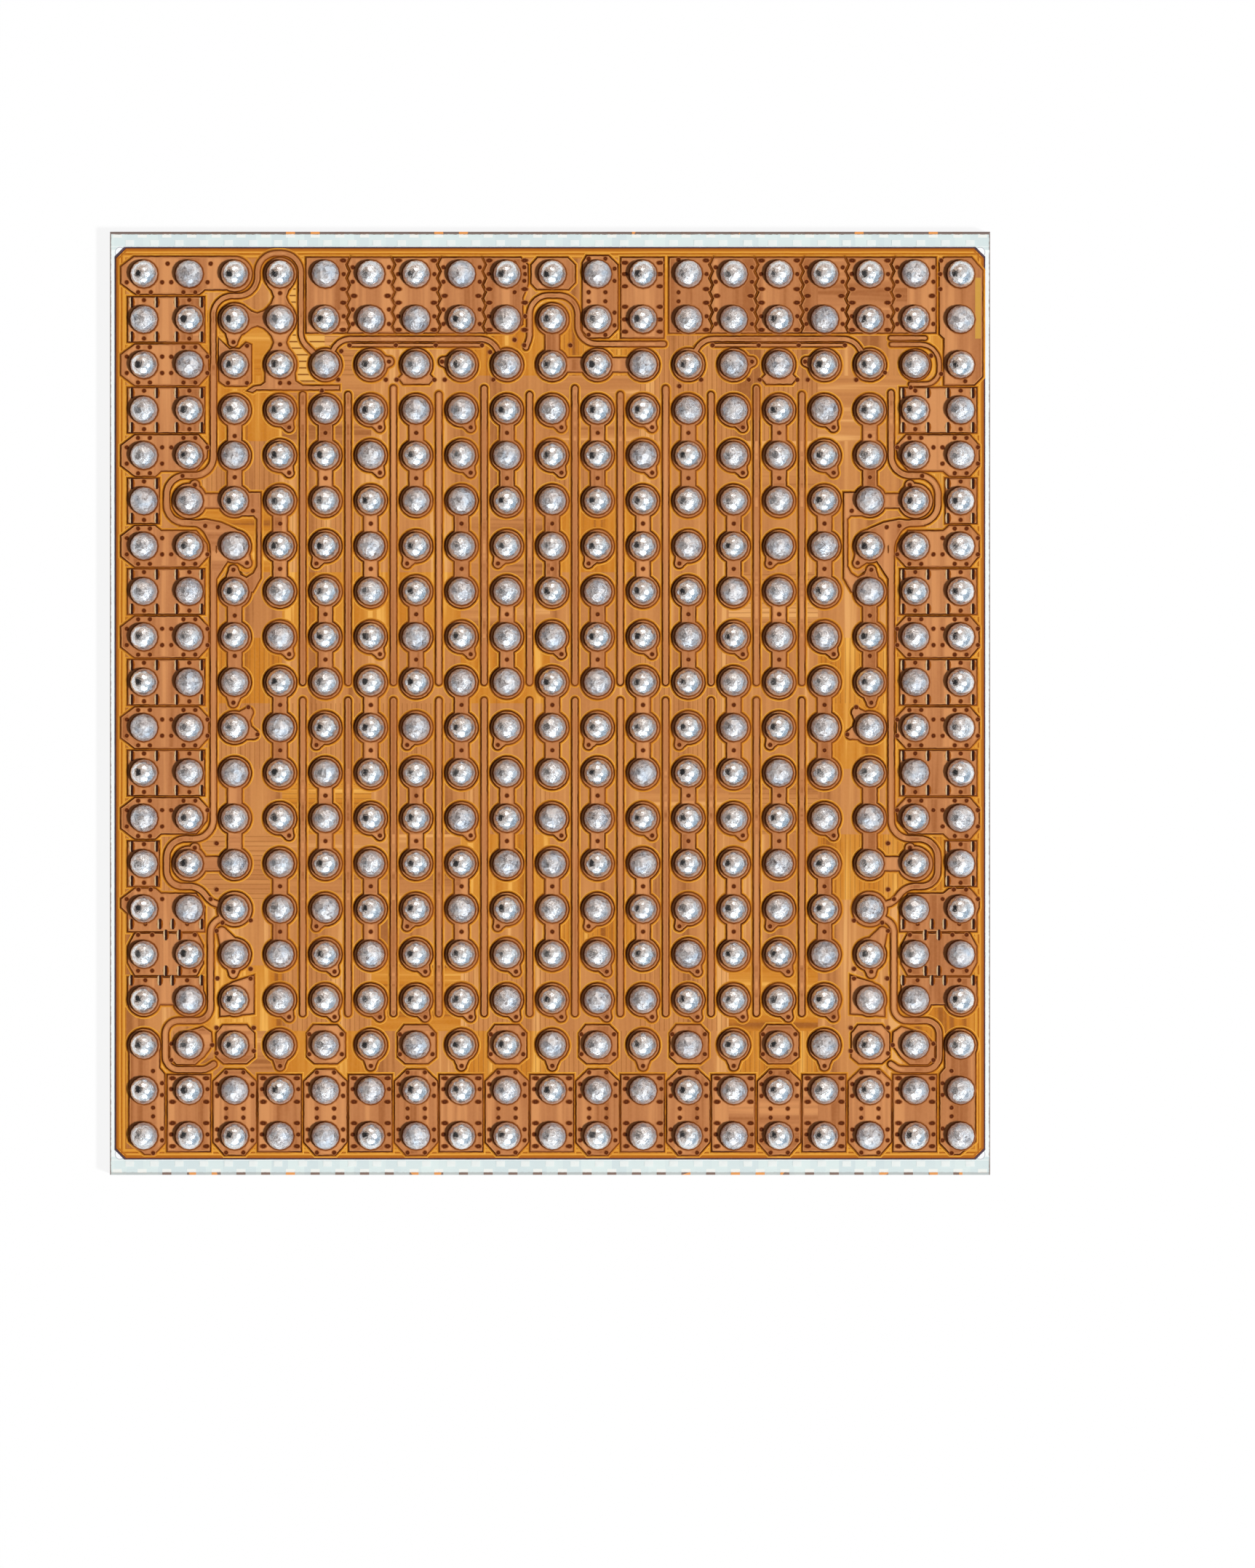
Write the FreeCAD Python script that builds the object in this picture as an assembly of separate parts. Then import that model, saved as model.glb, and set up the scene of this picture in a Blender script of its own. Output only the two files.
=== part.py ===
import FreeCAD, Part
import math
import os

# Wafer-level power management chip, lying on its flat marked face with the solder
# balls on top. X runs along the 19 columns, Y up along the 20 rows, Z out of the balls.
# The origin is the middle of the marked face. All sizes are in millimetres.

os.makedirs("parts", exist_ok=True)

# Ball grid
PITCH = 0.40
COLUMNS = 19
ROW_LETTERS = "ABCDEFGHJKLMNPRTUVWY"
ARRAY_SHIFT_X = 0.02
ARRAY_SHIFT_Y = -0.015

# Body, from the marked face up
BODY_X = 7.76
BODY_Y = 8.32
COATING_THICK = 0.04
DIE_THICK = 0.30
STREET_METAL_THICK = 0.004
FIRST_FILM_THICK = 0.010
COPPER_THICK = 0.008
COVER_THICK = 0.012
RELIEF_HEIGHT = 0.006
BUMP_PAD_THICK = 0.014

# Solder balls
BALL_RADIUS = 0.1225
BALL_HEIGHT = 0.185

# Films
FILM_MARGIN_X = 0.042
FILM_MARGIN_Y = 0.135
FILM_CHAMFER = 0.085
COVER_INSET = 0.016
RELIEF_GROW = 0.006

# Pin-one mark on the marked face
MARK_RADIUS = 0.16
MARK_DEPTH = 0.005
MARK_INSET = 0.45

# Saw street metal
PROBE_PAD_X = 0.076
PROBE_PAD_Y = 0.050
EDGE_TAB_X = 0.080
EDGE_TAB_Y = 0.022
STREET_STEP = 0.218
STREET_GAP = 0.012

# Copper layout, in ball pitches
LAND = 0.36
WIDE_LAND = 0.38
NECK = 0.30
TRACE = 0.12
FINE_TRACE = 0.10
SIDE_TRACE = 0.08
THIN_TRACE = 0.06
TRACE_BEND = 0.42
TIGHT_BEND = 0.30
VIA_LAND = 0.10
PAIR_HALF = 0.45
BLOCK_HALF = 0.49
TIP_HALF = 0.22
CUT_HALF = 0.335
WAIST_HALF = 0.13
LEFT_TIP = 0.50
RIGHT_TIP = 0.60
SIDE_WAVE = 0.035
WAVE_STEP = 0.155

# Heights and places worked out from the sizes above
ROWS = len(ROW_LETTERS)
MIDDLE_COLUMN = (COLUMNS + 1) / 2
MIDDLE_ROW = (ROWS + 1) / 2
DIE_BOTTOM = COATING_THICK
DIE_TOP = DIE_BOTTOM + DIE_THICK
COPPER_BOTTOM = DIE_TOP + FIRST_FILM_THICK
COPPER_TOP = COPPER_BOTTOM + COPPER_THICK
COVER_VALLEY = COPPER_BOTTOM + COVER_THICK
COVER_TOP = COVER_VALLEY + RELIEF_HEIGHT
BALL_BOTTOM = COPPER_TOP + BUMP_PAD_THICK
BALL_RISE = BALL_HEIGHT - BALL_RADIUS
PAD_RADIUS = math.sqrt(BALL_RADIUS ** 2 - BALL_RISE ** 2)
UP = FreeCAD.Vector(0, 0, 1)
GROUND = Part.Plane(FreeCAD.Vector(0, 0, 0), UP)


def spot(u, v):
    """The place of column u and row v on the ball grid, rows counted downwards."""
    x = (u - MIDDLE_COLUMN) * PITCH + ARRAY_SHIFT_X
    y = (MIDDLE_ROW - v) * PITCH + ARRAY_SHIFT_Y
    return FreeCAD.Vector(x, y, 0)


def raise_face(face, low, high):
    """A flat face at height zero made a solid from low to high."""
    lifted = face.copy()
    lifted.translate(UP * low)
    return lifted.extrude(UP * (high - low))


def block(x_size, y_size, low, high, x_mid=0.0, y_mid=0.0):
    """A plain block centred on a place."""
    corner = FreeCAD.Vector(x_mid - x_size / 2, y_mid - y_size / 2, low)
    return Part.makeBox(x_size, y_size, high - low, corner)


def closed_face(corners):
    """A face with straight sides through the corners."""
    return Part.Face(GROUND, Part.makePolygon(corners + corners[:1]))


def pushed_out(corners, grow):
    """The corners of a polygon moved so that each side shifts outwards by grow."""
    count = len(corners)
    area = 0.0
    for i in range(count):
        here = corners[i]
        after = corners[(i + 1) % count]
        area += here.x * after.y - after.x * here.y
    turn = 1.0 if area > 0 else -1.0
    moved = []
    for i in range(count):
        first = (corners[i] - corners[i - 1]).normalize()
        second = (corners[(i + 1) % count] - corners[i]).normalize()
        out_first = FreeCAD.Vector(first.y, -first.x, 0) * turn
        out_second = FreeCAD.Vector(second.y, -second.x, 0) * turn
        both = out_first + out_second
        moved.append(corners[i] + both * (2 * grow / both.dot(both)))
    return moved


def disc(u, v, radius):
    """A round land."""
    def face(grow):
        ring = Part.Circle(spot(u, v), UP, radius * PITCH + grow)
        return Part.Face(Part.Wire(ring.toShape()))
    return face


def patch(*places):
    """A straight-sided area through the given grid places."""
    def face(grow):
        corners = [spot(u, v) for u, v in places]
        return closed_face(pushed_out(corners, grow))
    return face


def bar(u0, v0, u1, v1):
    """A rectangle along the grid between two opposite corners."""
    return patch((u0, v0), (u1, v0), (u1, v1), (u0, v1))


def bend_points(before, corner, after, radius):
    """Where a rounded bend starts and ends, its middle point and its centre."""
    back = (before - corner).normalize()
    ahead = (after - corner).normalize()
    half = back.getAngle(ahead) / 2
    reach = radius / math.tan(half)
    room = 0.5 * min((before - corner).Length, (after - corner).Length)
    if reach > room:
        reach = room
        radius = room * math.tan(half)
    centre = corner + (back + ahead).normalize() * (radius / math.sin(half))
    return corner + back * reach, corner + ahead * reach, centre, radius


def path(places, width, bend=TRACE_BEND):
    """A copper trace of one width along a line with rounded bends and round ends."""
    def face(grow):
        points = [spot(u, v) for u, v in places]
        half = width * PITCH / 2 + grow
        left_side = []
        right_side = []
        start = points[0]
        for i in range(1, len(points)):
            is_last = i == len(points) - 1
            if is_last:
                stop = points[i]
            else:
                stop, leave, centre, radius = bend_points(
                    points[i - 1], points[i], points[i + 1], bend * PITCH)
            ahead = (stop - start).normalize()
            side = FreeCAD.Vector(-ahead.y, ahead.x, 0) * half
            if (stop - start).Length > 1e-6:
                left_side.append(Part.makeLine(start + side, stop + side))
                right_side.append(Part.makeLine(start - side, stop - side))
            if not is_last:
                inward = (points[i] - centre).normalize()
                turns_left = side.dot(centre - stop) > 0
                near = radius - half
                far = radius + half
                left_radius = near if turns_left else far
                right_radius = far if turns_left else near
                after = (points[i + 1] - leave).normalize()
                next_side = FreeCAD.Vector(-after.y, after.x, 0) * half
                left_side.append(Part.Arc(
                    stop + side, centre + inward * left_radius, leave + next_side).toShape())
                right_side.append(Part.Arc(
                    stop - side, centre + inward * right_radius, leave - next_side).toShape())
                start = leave
        first = (points[1] - points[0]).normalize()
        final = (points[-1] - points[-2]).normalize()
        first_side = FreeCAD.Vector(-first.y, first.x, 0) * half
        final_side = FreeCAD.Vector(-final.y, final.x, 0) * half
        start_cap = Part.Arc(points[0] + first_side, points[0] - first * half,
                             points[0] - first_side).toShape()
        end_cap = Part.Arc(points[-1] + final_side, points[-1] + final * half,
                           points[-1] - final_side).toShape()
        edges = left_side + [end_cap] + right_side[::-1] + [start_cap]
        return Part.Face(GROUND, Part.Wire(Part.__sortEdges__(edges)))
    return face


def mirrored(shape):
    """The same shape on the other side of the middle column."""
    def face(grow):
        middle = spot(MIDDLE_COLUMN, MIDDLE_ROW)
        return shape(grow).mirror(middle, FreeCAD.Vector(1, 0, 0))
    return face


def drop(u, v, via_u, via_v):
    """A land that narrows to a via beside it."""
    reach = math.hypot(via_u - u, via_v - v)
    across_u = -(via_v - v) / reach
    across_v = (via_u - u) / reach
    wide = 0.8 * LAND
    body = patch((u + across_u * wide, v + across_v * wide),
                 (via_u + across_u * VIA_LAND, via_v + across_v * VIA_LAND),
                 (via_u - across_u * VIA_LAND, via_v - across_v * VIA_LAND),
                 (u - across_u * wide, v - across_v * wide))
    return [disc(u, v, LAND), body, disc(via_u, via_v, VIA_LAND)]


def waist(u0, v0, u1, v1):
    """Copper between two lands a pitch apart that narrows in the middle like an hourglass."""
    along_u = u1 - u0
    along_v = v1 - v0
    shares = (0.22, 0.36, 0.50, 0.64, 0.78)
    halves = (2.3 * WAIST_HALF, 1.4 * WAIST_HALF, WAIST_HALF, 1.4 * WAIST_HALF, 2.3 * WAIST_HALF)
    left = []
    right = []
    for share, half in zip(shares, halves):
        u = u0 + along_u * share
        v = v0 + along_v * share
        left.append((u - along_v * half, v + along_u * half))
        right.append((u + along_v * half, v - along_u * half))
    return patch(*left, *right[::-1])


def joined(*shapes):
    """Several overlapping shapes as one island of copper."""
    def face(grow):
        faces = [shape(grow) for shape in shapes]
        if len(faces) == 1:
            return faces[0]
        whole = faces[0].fuse(faces[1:]).removeSplitter()
        if len(whole.Faces) != 1:
            raise ValueError("an island of copper is in several pieces")
        return whole.Faces[0]
    return face


def tipped_pair(row, tip, top_cut=False, bottom_cut=False):
    """Copper joining balls 1 and 2 of a row, with cut corners and its outer end at tip.

    Where a trace passes between two rows, the copper's inner half is cut back.
    """
    top_left = [(tip, row - TIP_HALF), (0.80, row - PAIR_HALF)]
    if top_cut:
        top_right = [(1.25, row - PAIR_HALF), (1.38, row - CUT_HALF), (2.15, row - CUT_HALF),
                     (2.38, row - 0.05)]
    else:
        top_right = [(2.20, row - PAIR_HALF), (2.41, row - TIP_HALF)]
    if bottom_cut:
        bottom_right = [(2.38, row + 0.05), (2.15, row + CUT_HALF), (1.38, row + CUT_HALF),
                        (1.25, row + PAIR_HALF)]
    else:
        bottom_right = [(2.41, row + TIP_HALF), (2.20, row + PAIR_HALF)]
    bottom_left = [(0.80, row + PAIR_HALF), (tip, row + TIP_HALF)]
    return patch(*top_left, *top_right, *bottom_right, *bottom_left)


def block_pair(row, right=2.33):
    """Square-cornered copper round balls 1 and 2 of a row."""
    return bar(0.65, row - BLOCK_HALF, right, row + BLOCK_HALF)


def chain(column, first, last):
    """Lands of one column joined from the first row to the last by necks."""
    lands = [disc(column, row, LAND) for row in range(first, last + 1)]
    return lands + [bar(column - NECK / 2, first, column + NECK / 2, last)]


def waved_side(column_edge, side, top, bottom, phase):
    """Points of a wavy pour boundary from its top to its bottom."""
    count = int(round((bottom - top) / WAVE_STEP))
    step = (bottom - top) / count
    points = []
    for i in range(count + 1):
        wave = SIDE_WAVE if (i + phase) % 2 else -SIDE_WAVE
        points.append((column_edge + side + wave, top + i * step))
    return points


def woven_pair(column, left_waved=True, right_waved=True):
    """Copper round the first two balls of a column, its sides weaving between vias."""
    top = 0.64
    bottom = 2.29
    gap = 0.03
    phase = column % 2
    if left_waved:
        left = waved_side(column - 0.5, gap, top, bottom, phase + 1)
    else:
        left = [(column - 0.42, top), (column - 0.42, bottom)]
    if right_waved:
        right = waved_side(column + 0.5, -gap, top, bottom, phase)
    else:
        right = [(column + 0.45, top), (column + 0.45, bottom)]
    return patch(*left, *right[::-1])


def pair_islands(rows, tip):
    """Copper joining balls 1 and 2 of each given row, pointed and square in turn."""
    cut_below = (5, 13)
    cut_above = (7,)
    islands = []
    for row in rows:
        if row % 2:
            islands.append(tipped_pair(row, tip, row in cut_above, row in cut_below))
        else:
            islands.append(block_pair(row))
    return islands


def side_islands(tip):
    """Copper of columns 1 to 3 from row 4 down; the right side answers it mirrored."""
    islands = pair_islands((4, 5, 7, 8, 9, 10, 11, 12, 13), tip)
    for row in (6, 14):
        neck = bar(2.0, row - NECK / 2, 3.0, row + NECK / 2)
        islands.append(block_pair(row, right=1.33))
        lands = [disc(2, row, WIDE_LAND), *drop(2, row, 2.12, row - 0.35), neck, *chain(3, row - 2, row)]
        if row == 6:
            around = patch((3.0, 5.82), (3.57, 5.82), (3.57, 7.70), (3.40, 8.0), (3.0, 8.0),
                           (3.12, 7.62), (3.26, 7.70), (3.42, 7.60), (3.50, 7.44), (3.50, 6.40),
                           (3.42, 6.32), (3.0, 6.32))
            lands += [around, *chain(3, 8, 10), *drop(3, 10, 2.97, 10.45), *drop(3, 8, 2.97, 7.52)]
        islands.append(joined(*lands))
    islands.append(joined(*drop(3, 11, 3.30, 10.66), *drop(3, 11, 3.42, 11.15)))
    islands.append(patch((tip, 14.78), (0.80, 14.55), (1.25, 14.55), (1.38, 14.66), (2.15, 14.66),
                         (2.33, 14.95), (2.33, 15.49), (0.65, 15.49), (0.65, 15.10), (tip, 14.96)))
    islands.append(patch((0.80, 15.54), (2.16, 15.54), (2.30, 15.80), (2.30, 16.20), (2.16, 16.46),
                         (0.80, 16.46), (0.65, 16.18), (0.65, 15.82)))
    islands.append(joined(bar(0.65, 16.51, 2.30, 17.10), disc(1, 17, LAND), disc(2, 17, LAND)))
    islands.append(joined(*drop(3, 16, 2.97, 16.42), *drop(3, 16, 2.72, 15.50)))
    islands.append(joined(disc(3, 17, LAND), patch((2.75, 16.75), (2.95, 16.62), (3.42, 16.47),
                                                   (3.42, 17.30), (2.68, 17.36), (2.68, 16.9))))
    islands.append(patch((1.58, 18.00), (1.80, 17.76), (2.30, 17.60), (2.48, 17.72), (2.50, 18.00),
                         (2.32, 18.25), (2.12, 18.42), (1.72, 18.42), (1.58, 18.28)))
    islands.append(joined(disc(1, 18, LAND), patch((0.68, 18.00), (1.34, 18.00), (1.34, 18.50),
                                                   (1.45, 18.64), (1.45, 20.16), (1.22, 20.40),
                                                   (1.02, 20.40), (0.68, 20.12))))
    return islands


def top_islands():
    """Copper pours and lands of the first three rows, columns 3 to 19."""
    islands = [joined(patch((0.78, 0.62), (3.00, 0.62), (3.00, 1.34), (2.34, 1.34), (2.22, 1.44),
                            (0.82, 1.44), (0.50, 1.20), (0.50, 0.84)), disc(3, 1, WIDE_LAND))]
    islands.append(joined(disc(4, 1, LAND), disc(4, 2, LAND), disc(4, 3, LAND), waist(4, 1, 4, 2),
                          waist(4, 2, 4, 3), waist(3, 2, 4, 2), *drop(3, 2, 2.96, 2.50),
                          patch((3.68, 3.0), (3.68, 3.38), (3.58, 3.46), (3.42, 3.48), (3.28, 3.57),
                                (3.40, 3.60), (3.48, 3.545), (5.30, 3.545), (5.30, 3.465),
                                (4.50, 3.465), (4.34, 3.36), (4.30, 3.0))))
    islands.append(joined(disc(3, 3, LAND),
                          patch((2.65, 2.42), (2.70, 2.47), (2.97, 2.74), (3.12, 2.64), (3.25, 2.52),
                                (3.36, 2.56), (3.36, 3.38), (3.26, 3.46), (2.80, 3.46), (2.66, 3.36))))
    for column in (5, 13):
        islands.append(woven_pair(column, left_waved=False))
    for column in (6, 7, 8, 14, 15, 16, 17):
        islands.append(woven_pair(column))
    islands.append(woven_pair(18, right_waved=False))
    left_edge = waved_side(8.5, 0.03, 0.64, 2.29, 2)
    islands.append(patch(*left_edge, (9.12, 2.29), (9.34, 2.10), (9.34, 1.52), (9.46, 1.22),
                         (9.46, 0.80), (9.30, 0.64)))
    islands.append(patch((9.68, 0.64), (10.34, 0.64), (10.50, 0.80), (10.50, 1.18), (10.36, 1.33),
                         (9.66, 1.33), (9.54, 1.20), (9.54, 0.80)))
    islands.append(patch((10.76, 0.60), (11.24, 0.60), (11.44, 0.80), (11.44, 2.20), (11.24, 2.40),
                         (10.80, 2.40), (10.67, 2.24), (10.67, 0.76)))
    islands.append(bar(11.52, 0.64, 12.45, 2.40))
    islands.append(joined(*chain(10, 2, 3), disc(11, 3, LAND), disc(12, 3, LAND),
                          bar(10.0, 3 - NECK / 2, 12.0, 3 + NECK / 2)))
    for column in (6, 14):
        islands.append(joined(*drop(column, 3, column + 0.40, 2.93)))
        islands.append(joined(disc(column + 1, 3, LAND),
                              patch((column + 0.62, 3.30), (column + 0.72, 3.42), (column + 1.28, 3.42),
                                    (column + 1.38, 3.30), (column + 1.10, 3.0), (column + 0.90, 3.0))))
        islands.append(joined(*drop(column + 2, 3, column + 1.60, 2.93)))
    islands.append(disc(18, 3, LAND - TRACE / 6))
    islands.append(patch((18.54, 0.74), (18.64, 0.64), (19.24, 0.64), (19.48, 0.92), (19.48, 3.26),
                         (19.30, 3.44), (18.64, 3.44), (18.64, 2.42), (18.54, 2.32)))
    return islands


def bottom_islands():
    """Copper pours and lands of the last three rows, from column 2 to column 18."""
    islands = []
    for column in range(2, 19):
        if column % 2 == 0:
            islands.append(bar(column - 0.48, 18.66, column + 0.46, 20.34))
        else:
            islands.append(patch((column - 0.47, 18.80), (column - 0.20, 18.54), (column + 0.20, 18.54),
                                 (column + 0.47, 18.80), (column + 0.47, 20.14), (column + 0.22, 20.42),
                                 (column - 0.22, 20.42), (column - 0.47, 20.14)))
    for column in range(3, 18):
        if column % 2:
            islands.append(patch((column - 0.40, 17.74), (column - 0.26, 17.56), (column + 0.26, 17.56),
                                 (column + 0.43, 17.74), (column + 0.43, 18.26), (column + 0.26, 18.40),
                                 (column - 0.24, 18.40), (column - 0.40, 18.26)))
        else:
            islands.append(joined(*drop(column, 18, column, 18.46)))
    return islands


def centre_islands():
    """Copper lands of columns 4 to 16 in rows 4 to 17: chains of three and single drops."""
    islands = []
    for column in range(4, 17):
        offset = 4 if column % 2 else 6
        row = 4
        while row <= 17:
            if row >= offset and (row - offset) % 4 == 0 and row + 2 <= 17:
                islands.append(joined(*chain(column, row, row + 2)))
                row += 3
            else:
                lean = 0.20 if row % 4 < 2 else -0.20
                islands.append(joined(*drop(column, row, column + lean, row + 0.38)))
                row += 1
    return islands


def swept_land(row):
    """The pour into which the long trace widens on its way to a land of column 3."""
    return [disc(3, row, LAND), *drop(3, row, 3.27, row + 0.37),
            patch((1.80, row - 0.57), (2.20, row - 0.57), (2.36, row - 0.59), (2.70, row - 0.52),
                  (3.02, row - 0.38), (3.24, row - 0.22), (3.0, row), (2.86, row + 0.30),
                  (2.70, row + 0.55), (2.59, row + 0.72), (2.47, row + 0.62), (2.60, row + 0.12),
                  (2.60, row), (2.26, row - 0.44), (1.80, row - 0.46))]


def trace_islands():
    """The long thin traces, and the lands of the balls that they end on."""
    side_route = [(2.53, 5.44), (1.50, 5.44), (1.50, 6.48), (2.30, 6.48), (2.53, 6.95), (2.53, 13.45),
                  (1.50, 13.45), (1.50, 14.50), (2.20, 14.50), (2.48, 14.85), (3.0, 15.0)]
    low_route = [(3.0, 15.0), (2.47, 15.35), (2.47, 17.46), (1.47, 17.46), (1.47, 18.54),
                 (2.36, 18.54), (2.54, 18.42)]
    entry = [(5.0, 3.0), (4.46, 2.46), (4.46, 0.54), (3.50, 0.54), (3.50, 1.48), (2.53, 1.48), (2.53, 3.2)]
    low = [path(low_route, TRACE, TIGHT_BEND), disc(3, 15, WIDE_LAND), *swept_land(7)]
    left = joined(path(entry, FINE_TRACE), path([(2.53, 3.0)] + side_route, TRACE), *low,
                  disc(5, 3, LAND), path([(5, 3), (5.30, 2.43), (8.64, 2.43), (9, 3)], FINE_TRACE),
                  disc(9, 3, LAND))
    right = mirrored(joined(path([(2.53, 3.62)] + side_route, TRACE), *low))
    islands = [left, right]
    islands.append(joined(path([(13, 3), (13.30, 2.43), (16.64, 2.43), (17, 3)], FINE_TRACE),
                          disc(13, 3, LAND), disc(17, 3, LAND)))
    for column in (5, 13):
        islands.append(path([(column + 0.55, 2.565), (column + 3.42, 2.565)], THIN_TRACE))
    islands.append(path([(9.42, 2.62), (9.50, 2.40), (9.50, 1.47), (10.56, 1.47), (10.56, 2.54),
                         (12.46, 2.54)], FINE_TRACE))
    islands.append(path([(17.46, 2.41), (18.22, 2.41)], SIDE_TRACE))
    islands.append(path([(17.48, 2.55), (18.53, 2.55), (18.53, 3.43), (17.90, 3.43)], SIDE_TRACE))
    for column in range(4, 16):
        start = 3.66 if column % 2 or column == 4 else 3.52
        islands.append(path([(column + 0.5, start), (column + 0.5, 10.0)], TRACE))
        islands.append(path([(column + 0.5, 10.4), (column + 0.5, 17.3)], TRACE))
    return islands


def film_face(inset):
    """The outline of a film with its four corners cut off."""
    half_x = BODY_X / 2 - FILM_MARGIN_X - inset
    half_y = BODY_Y / 2 - FILM_MARGIN_Y - inset
    cut = FILM_CHAMFER
    corners = []
    for sign_x, sign_y, flat_first in ((1, 1, True), (-1, 1, False), (-1, -1, True), (1, -1, False)):
        on_side = FreeCAD.Vector(sign_x * half_x, sign_y * (half_y - cut), 0)
        on_end = FreeCAD.Vector(sign_x * (half_x - cut), sign_y * half_y, 0)
        corners += [on_side, on_end] if flat_first else [on_end, on_side]
    return closed_face(corners)


def octagon(centre, flat_radius):
    """An eight-sided face, flat_radius from its centre to its sides."""
    corner_radius = flat_radius / math.cos(math.pi / 8)
    corners = []
    for i in range(8):
        angle = math.pi / 8 + i * math.pi / 4
        corners.append(centre + FreeCAD.Vector(math.cos(angle), math.sin(angle), 0) * corner_radius)
    return closed_face(corners)


def ball_spots(row):
    """The places of the balls of one row."""
    return [spot(column, row) for column in range(1, COLUMNS + 1)]


def make_coating():
    """The black film on the marked face, with the shallow round pin-one mark."""
    film = block(BODY_X, BODY_Y, 0, COATING_THICK)
    mark_spot = FreeCAD.Vector(BODY_X / 2 - MARK_INSET, BODY_Y / 2 - MARK_INSET, 0)
    return film.cut(Part.makeCylinder(MARK_RADIUS, MARK_DEPTH, mark_spot, UP))


def make_die():
    """The silicon."""
    return block(BODY_X, BODY_Y, DIE_BOTTOM, DIE_TOP)


def make_street(piece_x, piece_y, y_mid, shift):
    """A row of small metal pieces in the saw street at each end of the die."""
    half_count = int((BODY_X / 2 - piece_x - abs(shift)) / STREET_STEP)
    pieces = []
    for side in (1, -1):
        for i in range(-half_count, half_count + 1):
            x_mid = i * STREET_STEP + shift
            pieces.append(block(piece_x, piece_y, DIE_TOP, DIE_TOP + STREET_METAL_THICK,
                                x_mid, side * y_mid))
    return Part.makeCompound(pieces)


def make_copper(islands):
    """Copper islands as a group of separate solids."""
    solids = []
    for island in islands:
        solids.append(raise_face(island(0.0), COPPER_BOTTOM, COPPER_TOP))
    return Part.makeCompound(solids)


def make_cover(islands):
    """The second film: pockets for the copper below, raised areas over it, bump openings."""
    outline = film_face(COVER_INSET)
    pockets = [island(0.0) for island in islands]
    raised = [island(RELIEF_GROW) for island in islands]
    valley = outline.cut(raised)
    film = raise_face(outline, COPPER_BOTTOM, COVER_TOP)
    tools = [raise_face(face, COPPER_BOTTOM, COPPER_TOP) for face in pockets]
    tools += [raise_face(face, COVER_VALLEY, COVER_TOP) for face in valley.Faces]
    for row in range(1, ROWS + 1):
        for place in ball_spots(row):
            tools.append(raise_face(octagon(place, PAD_RADIUS), COPPER_TOP, COVER_TOP))
    return film.cut(tools)


def make_bump_pads():
    """One under-bump pad for each ball, standing on the copper."""
    pads = []
    for row in range(1, ROWS + 1):
        for place in ball_spots(row):
            pads.append(raise_face(octagon(place, PAD_RADIUS), COPPER_TOP, BALL_BOTTOM))
    return Part.makeCompound(pads)


def make_ball_row(row):
    """The solder balls of one row: spheres flattened where they wet their pads."""
    lowest = math.degrees(math.asin(-BALL_RISE / BALL_RADIUS))
    balls = []
    for place in ball_spots(row):
        middle = place + UP * (BALL_BOTTOM + BALL_RISE)
        balls.append(Part.makeSphere(BALL_RADIUS, middle, UP, lowest, 90, 360))
    return Part.makeCompound(balls)


def save(name, shape):
    """Write one piece, or one group of like pieces."""
    shape.exportStep("parts/" + name + ".step")


def main():
    """Build and save every piece."""
    groups = {
        "copper_left": pair_islands((2, 3), LEFT_TIP) + side_islands(LEFT_TIP),
        "copper_top": top_islands(),
        "copper_bottom": bottom_islands(),
        "copper_centre": centre_islands(),
        "copper_right": [mirrored(island) for island in side_islands(RIGHT_TIP)],
        "copper_traces": trace_islands(),
    }
    save("backside_coating", make_coating())
    save("silicon_die", make_die())
    pad_y = BODY_Y / 2 - FILM_MARGIN_Y + STREET_GAP + PROBE_PAD_Y / 2
    tab_y = BODY_Y / 2 - EDGE_TAB_Y / 2
    save("street_pads", make_street(PROBE_PAD_X, PROBE_PAD_Y, pad_y, 0.0))
    save("street_tabs", make_street(EDGE_TAB_X, EDGE_TAB_Y, tab_y, STREET_STEP / 2))
    save("first_dielectric", raise_face(film_face(0.0), DIE_TOP, COPPER_BOTTOM))
    for name, islands in groups.items():
        save(name, make_copper(islands))
    every_island = [island for islands in groups.values() for island in islands]
    save("cover_dielectric", make_cover(every_island))
    save("bump_pads", make_bump_pads())
    for row in range(1, ROWS + 1):
        save("solder_balls_row_" + ROW_LETTERS[row - 1], make_ball_row(row))


main()
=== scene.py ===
import math

import bpy
import numpy as np
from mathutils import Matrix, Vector


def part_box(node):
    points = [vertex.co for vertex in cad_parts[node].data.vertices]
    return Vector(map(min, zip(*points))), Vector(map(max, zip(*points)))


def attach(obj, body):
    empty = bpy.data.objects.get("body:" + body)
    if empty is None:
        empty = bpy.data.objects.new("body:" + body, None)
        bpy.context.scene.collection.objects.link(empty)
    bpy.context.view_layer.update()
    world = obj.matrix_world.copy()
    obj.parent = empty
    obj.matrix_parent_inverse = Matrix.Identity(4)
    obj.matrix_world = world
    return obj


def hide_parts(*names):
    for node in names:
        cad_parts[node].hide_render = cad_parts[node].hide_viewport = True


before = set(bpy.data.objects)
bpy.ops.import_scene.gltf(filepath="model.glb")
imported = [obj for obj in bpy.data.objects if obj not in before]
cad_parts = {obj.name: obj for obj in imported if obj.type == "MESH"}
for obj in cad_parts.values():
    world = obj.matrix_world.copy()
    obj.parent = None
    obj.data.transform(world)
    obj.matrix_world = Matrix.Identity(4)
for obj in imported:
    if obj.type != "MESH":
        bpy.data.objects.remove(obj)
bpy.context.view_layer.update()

bl_info = {
    "name": "Ball grid chip looks",
    "version": (1, 0, 0),
    "blender": (4, 5, 0),
    "location": "3D View > Sidebar > Ball grid chip",
    "description": "Film relief, vias, solder balls and finishes for a wafer-level chip",
    "category": "Object",
}

MM = 0.001

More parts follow.
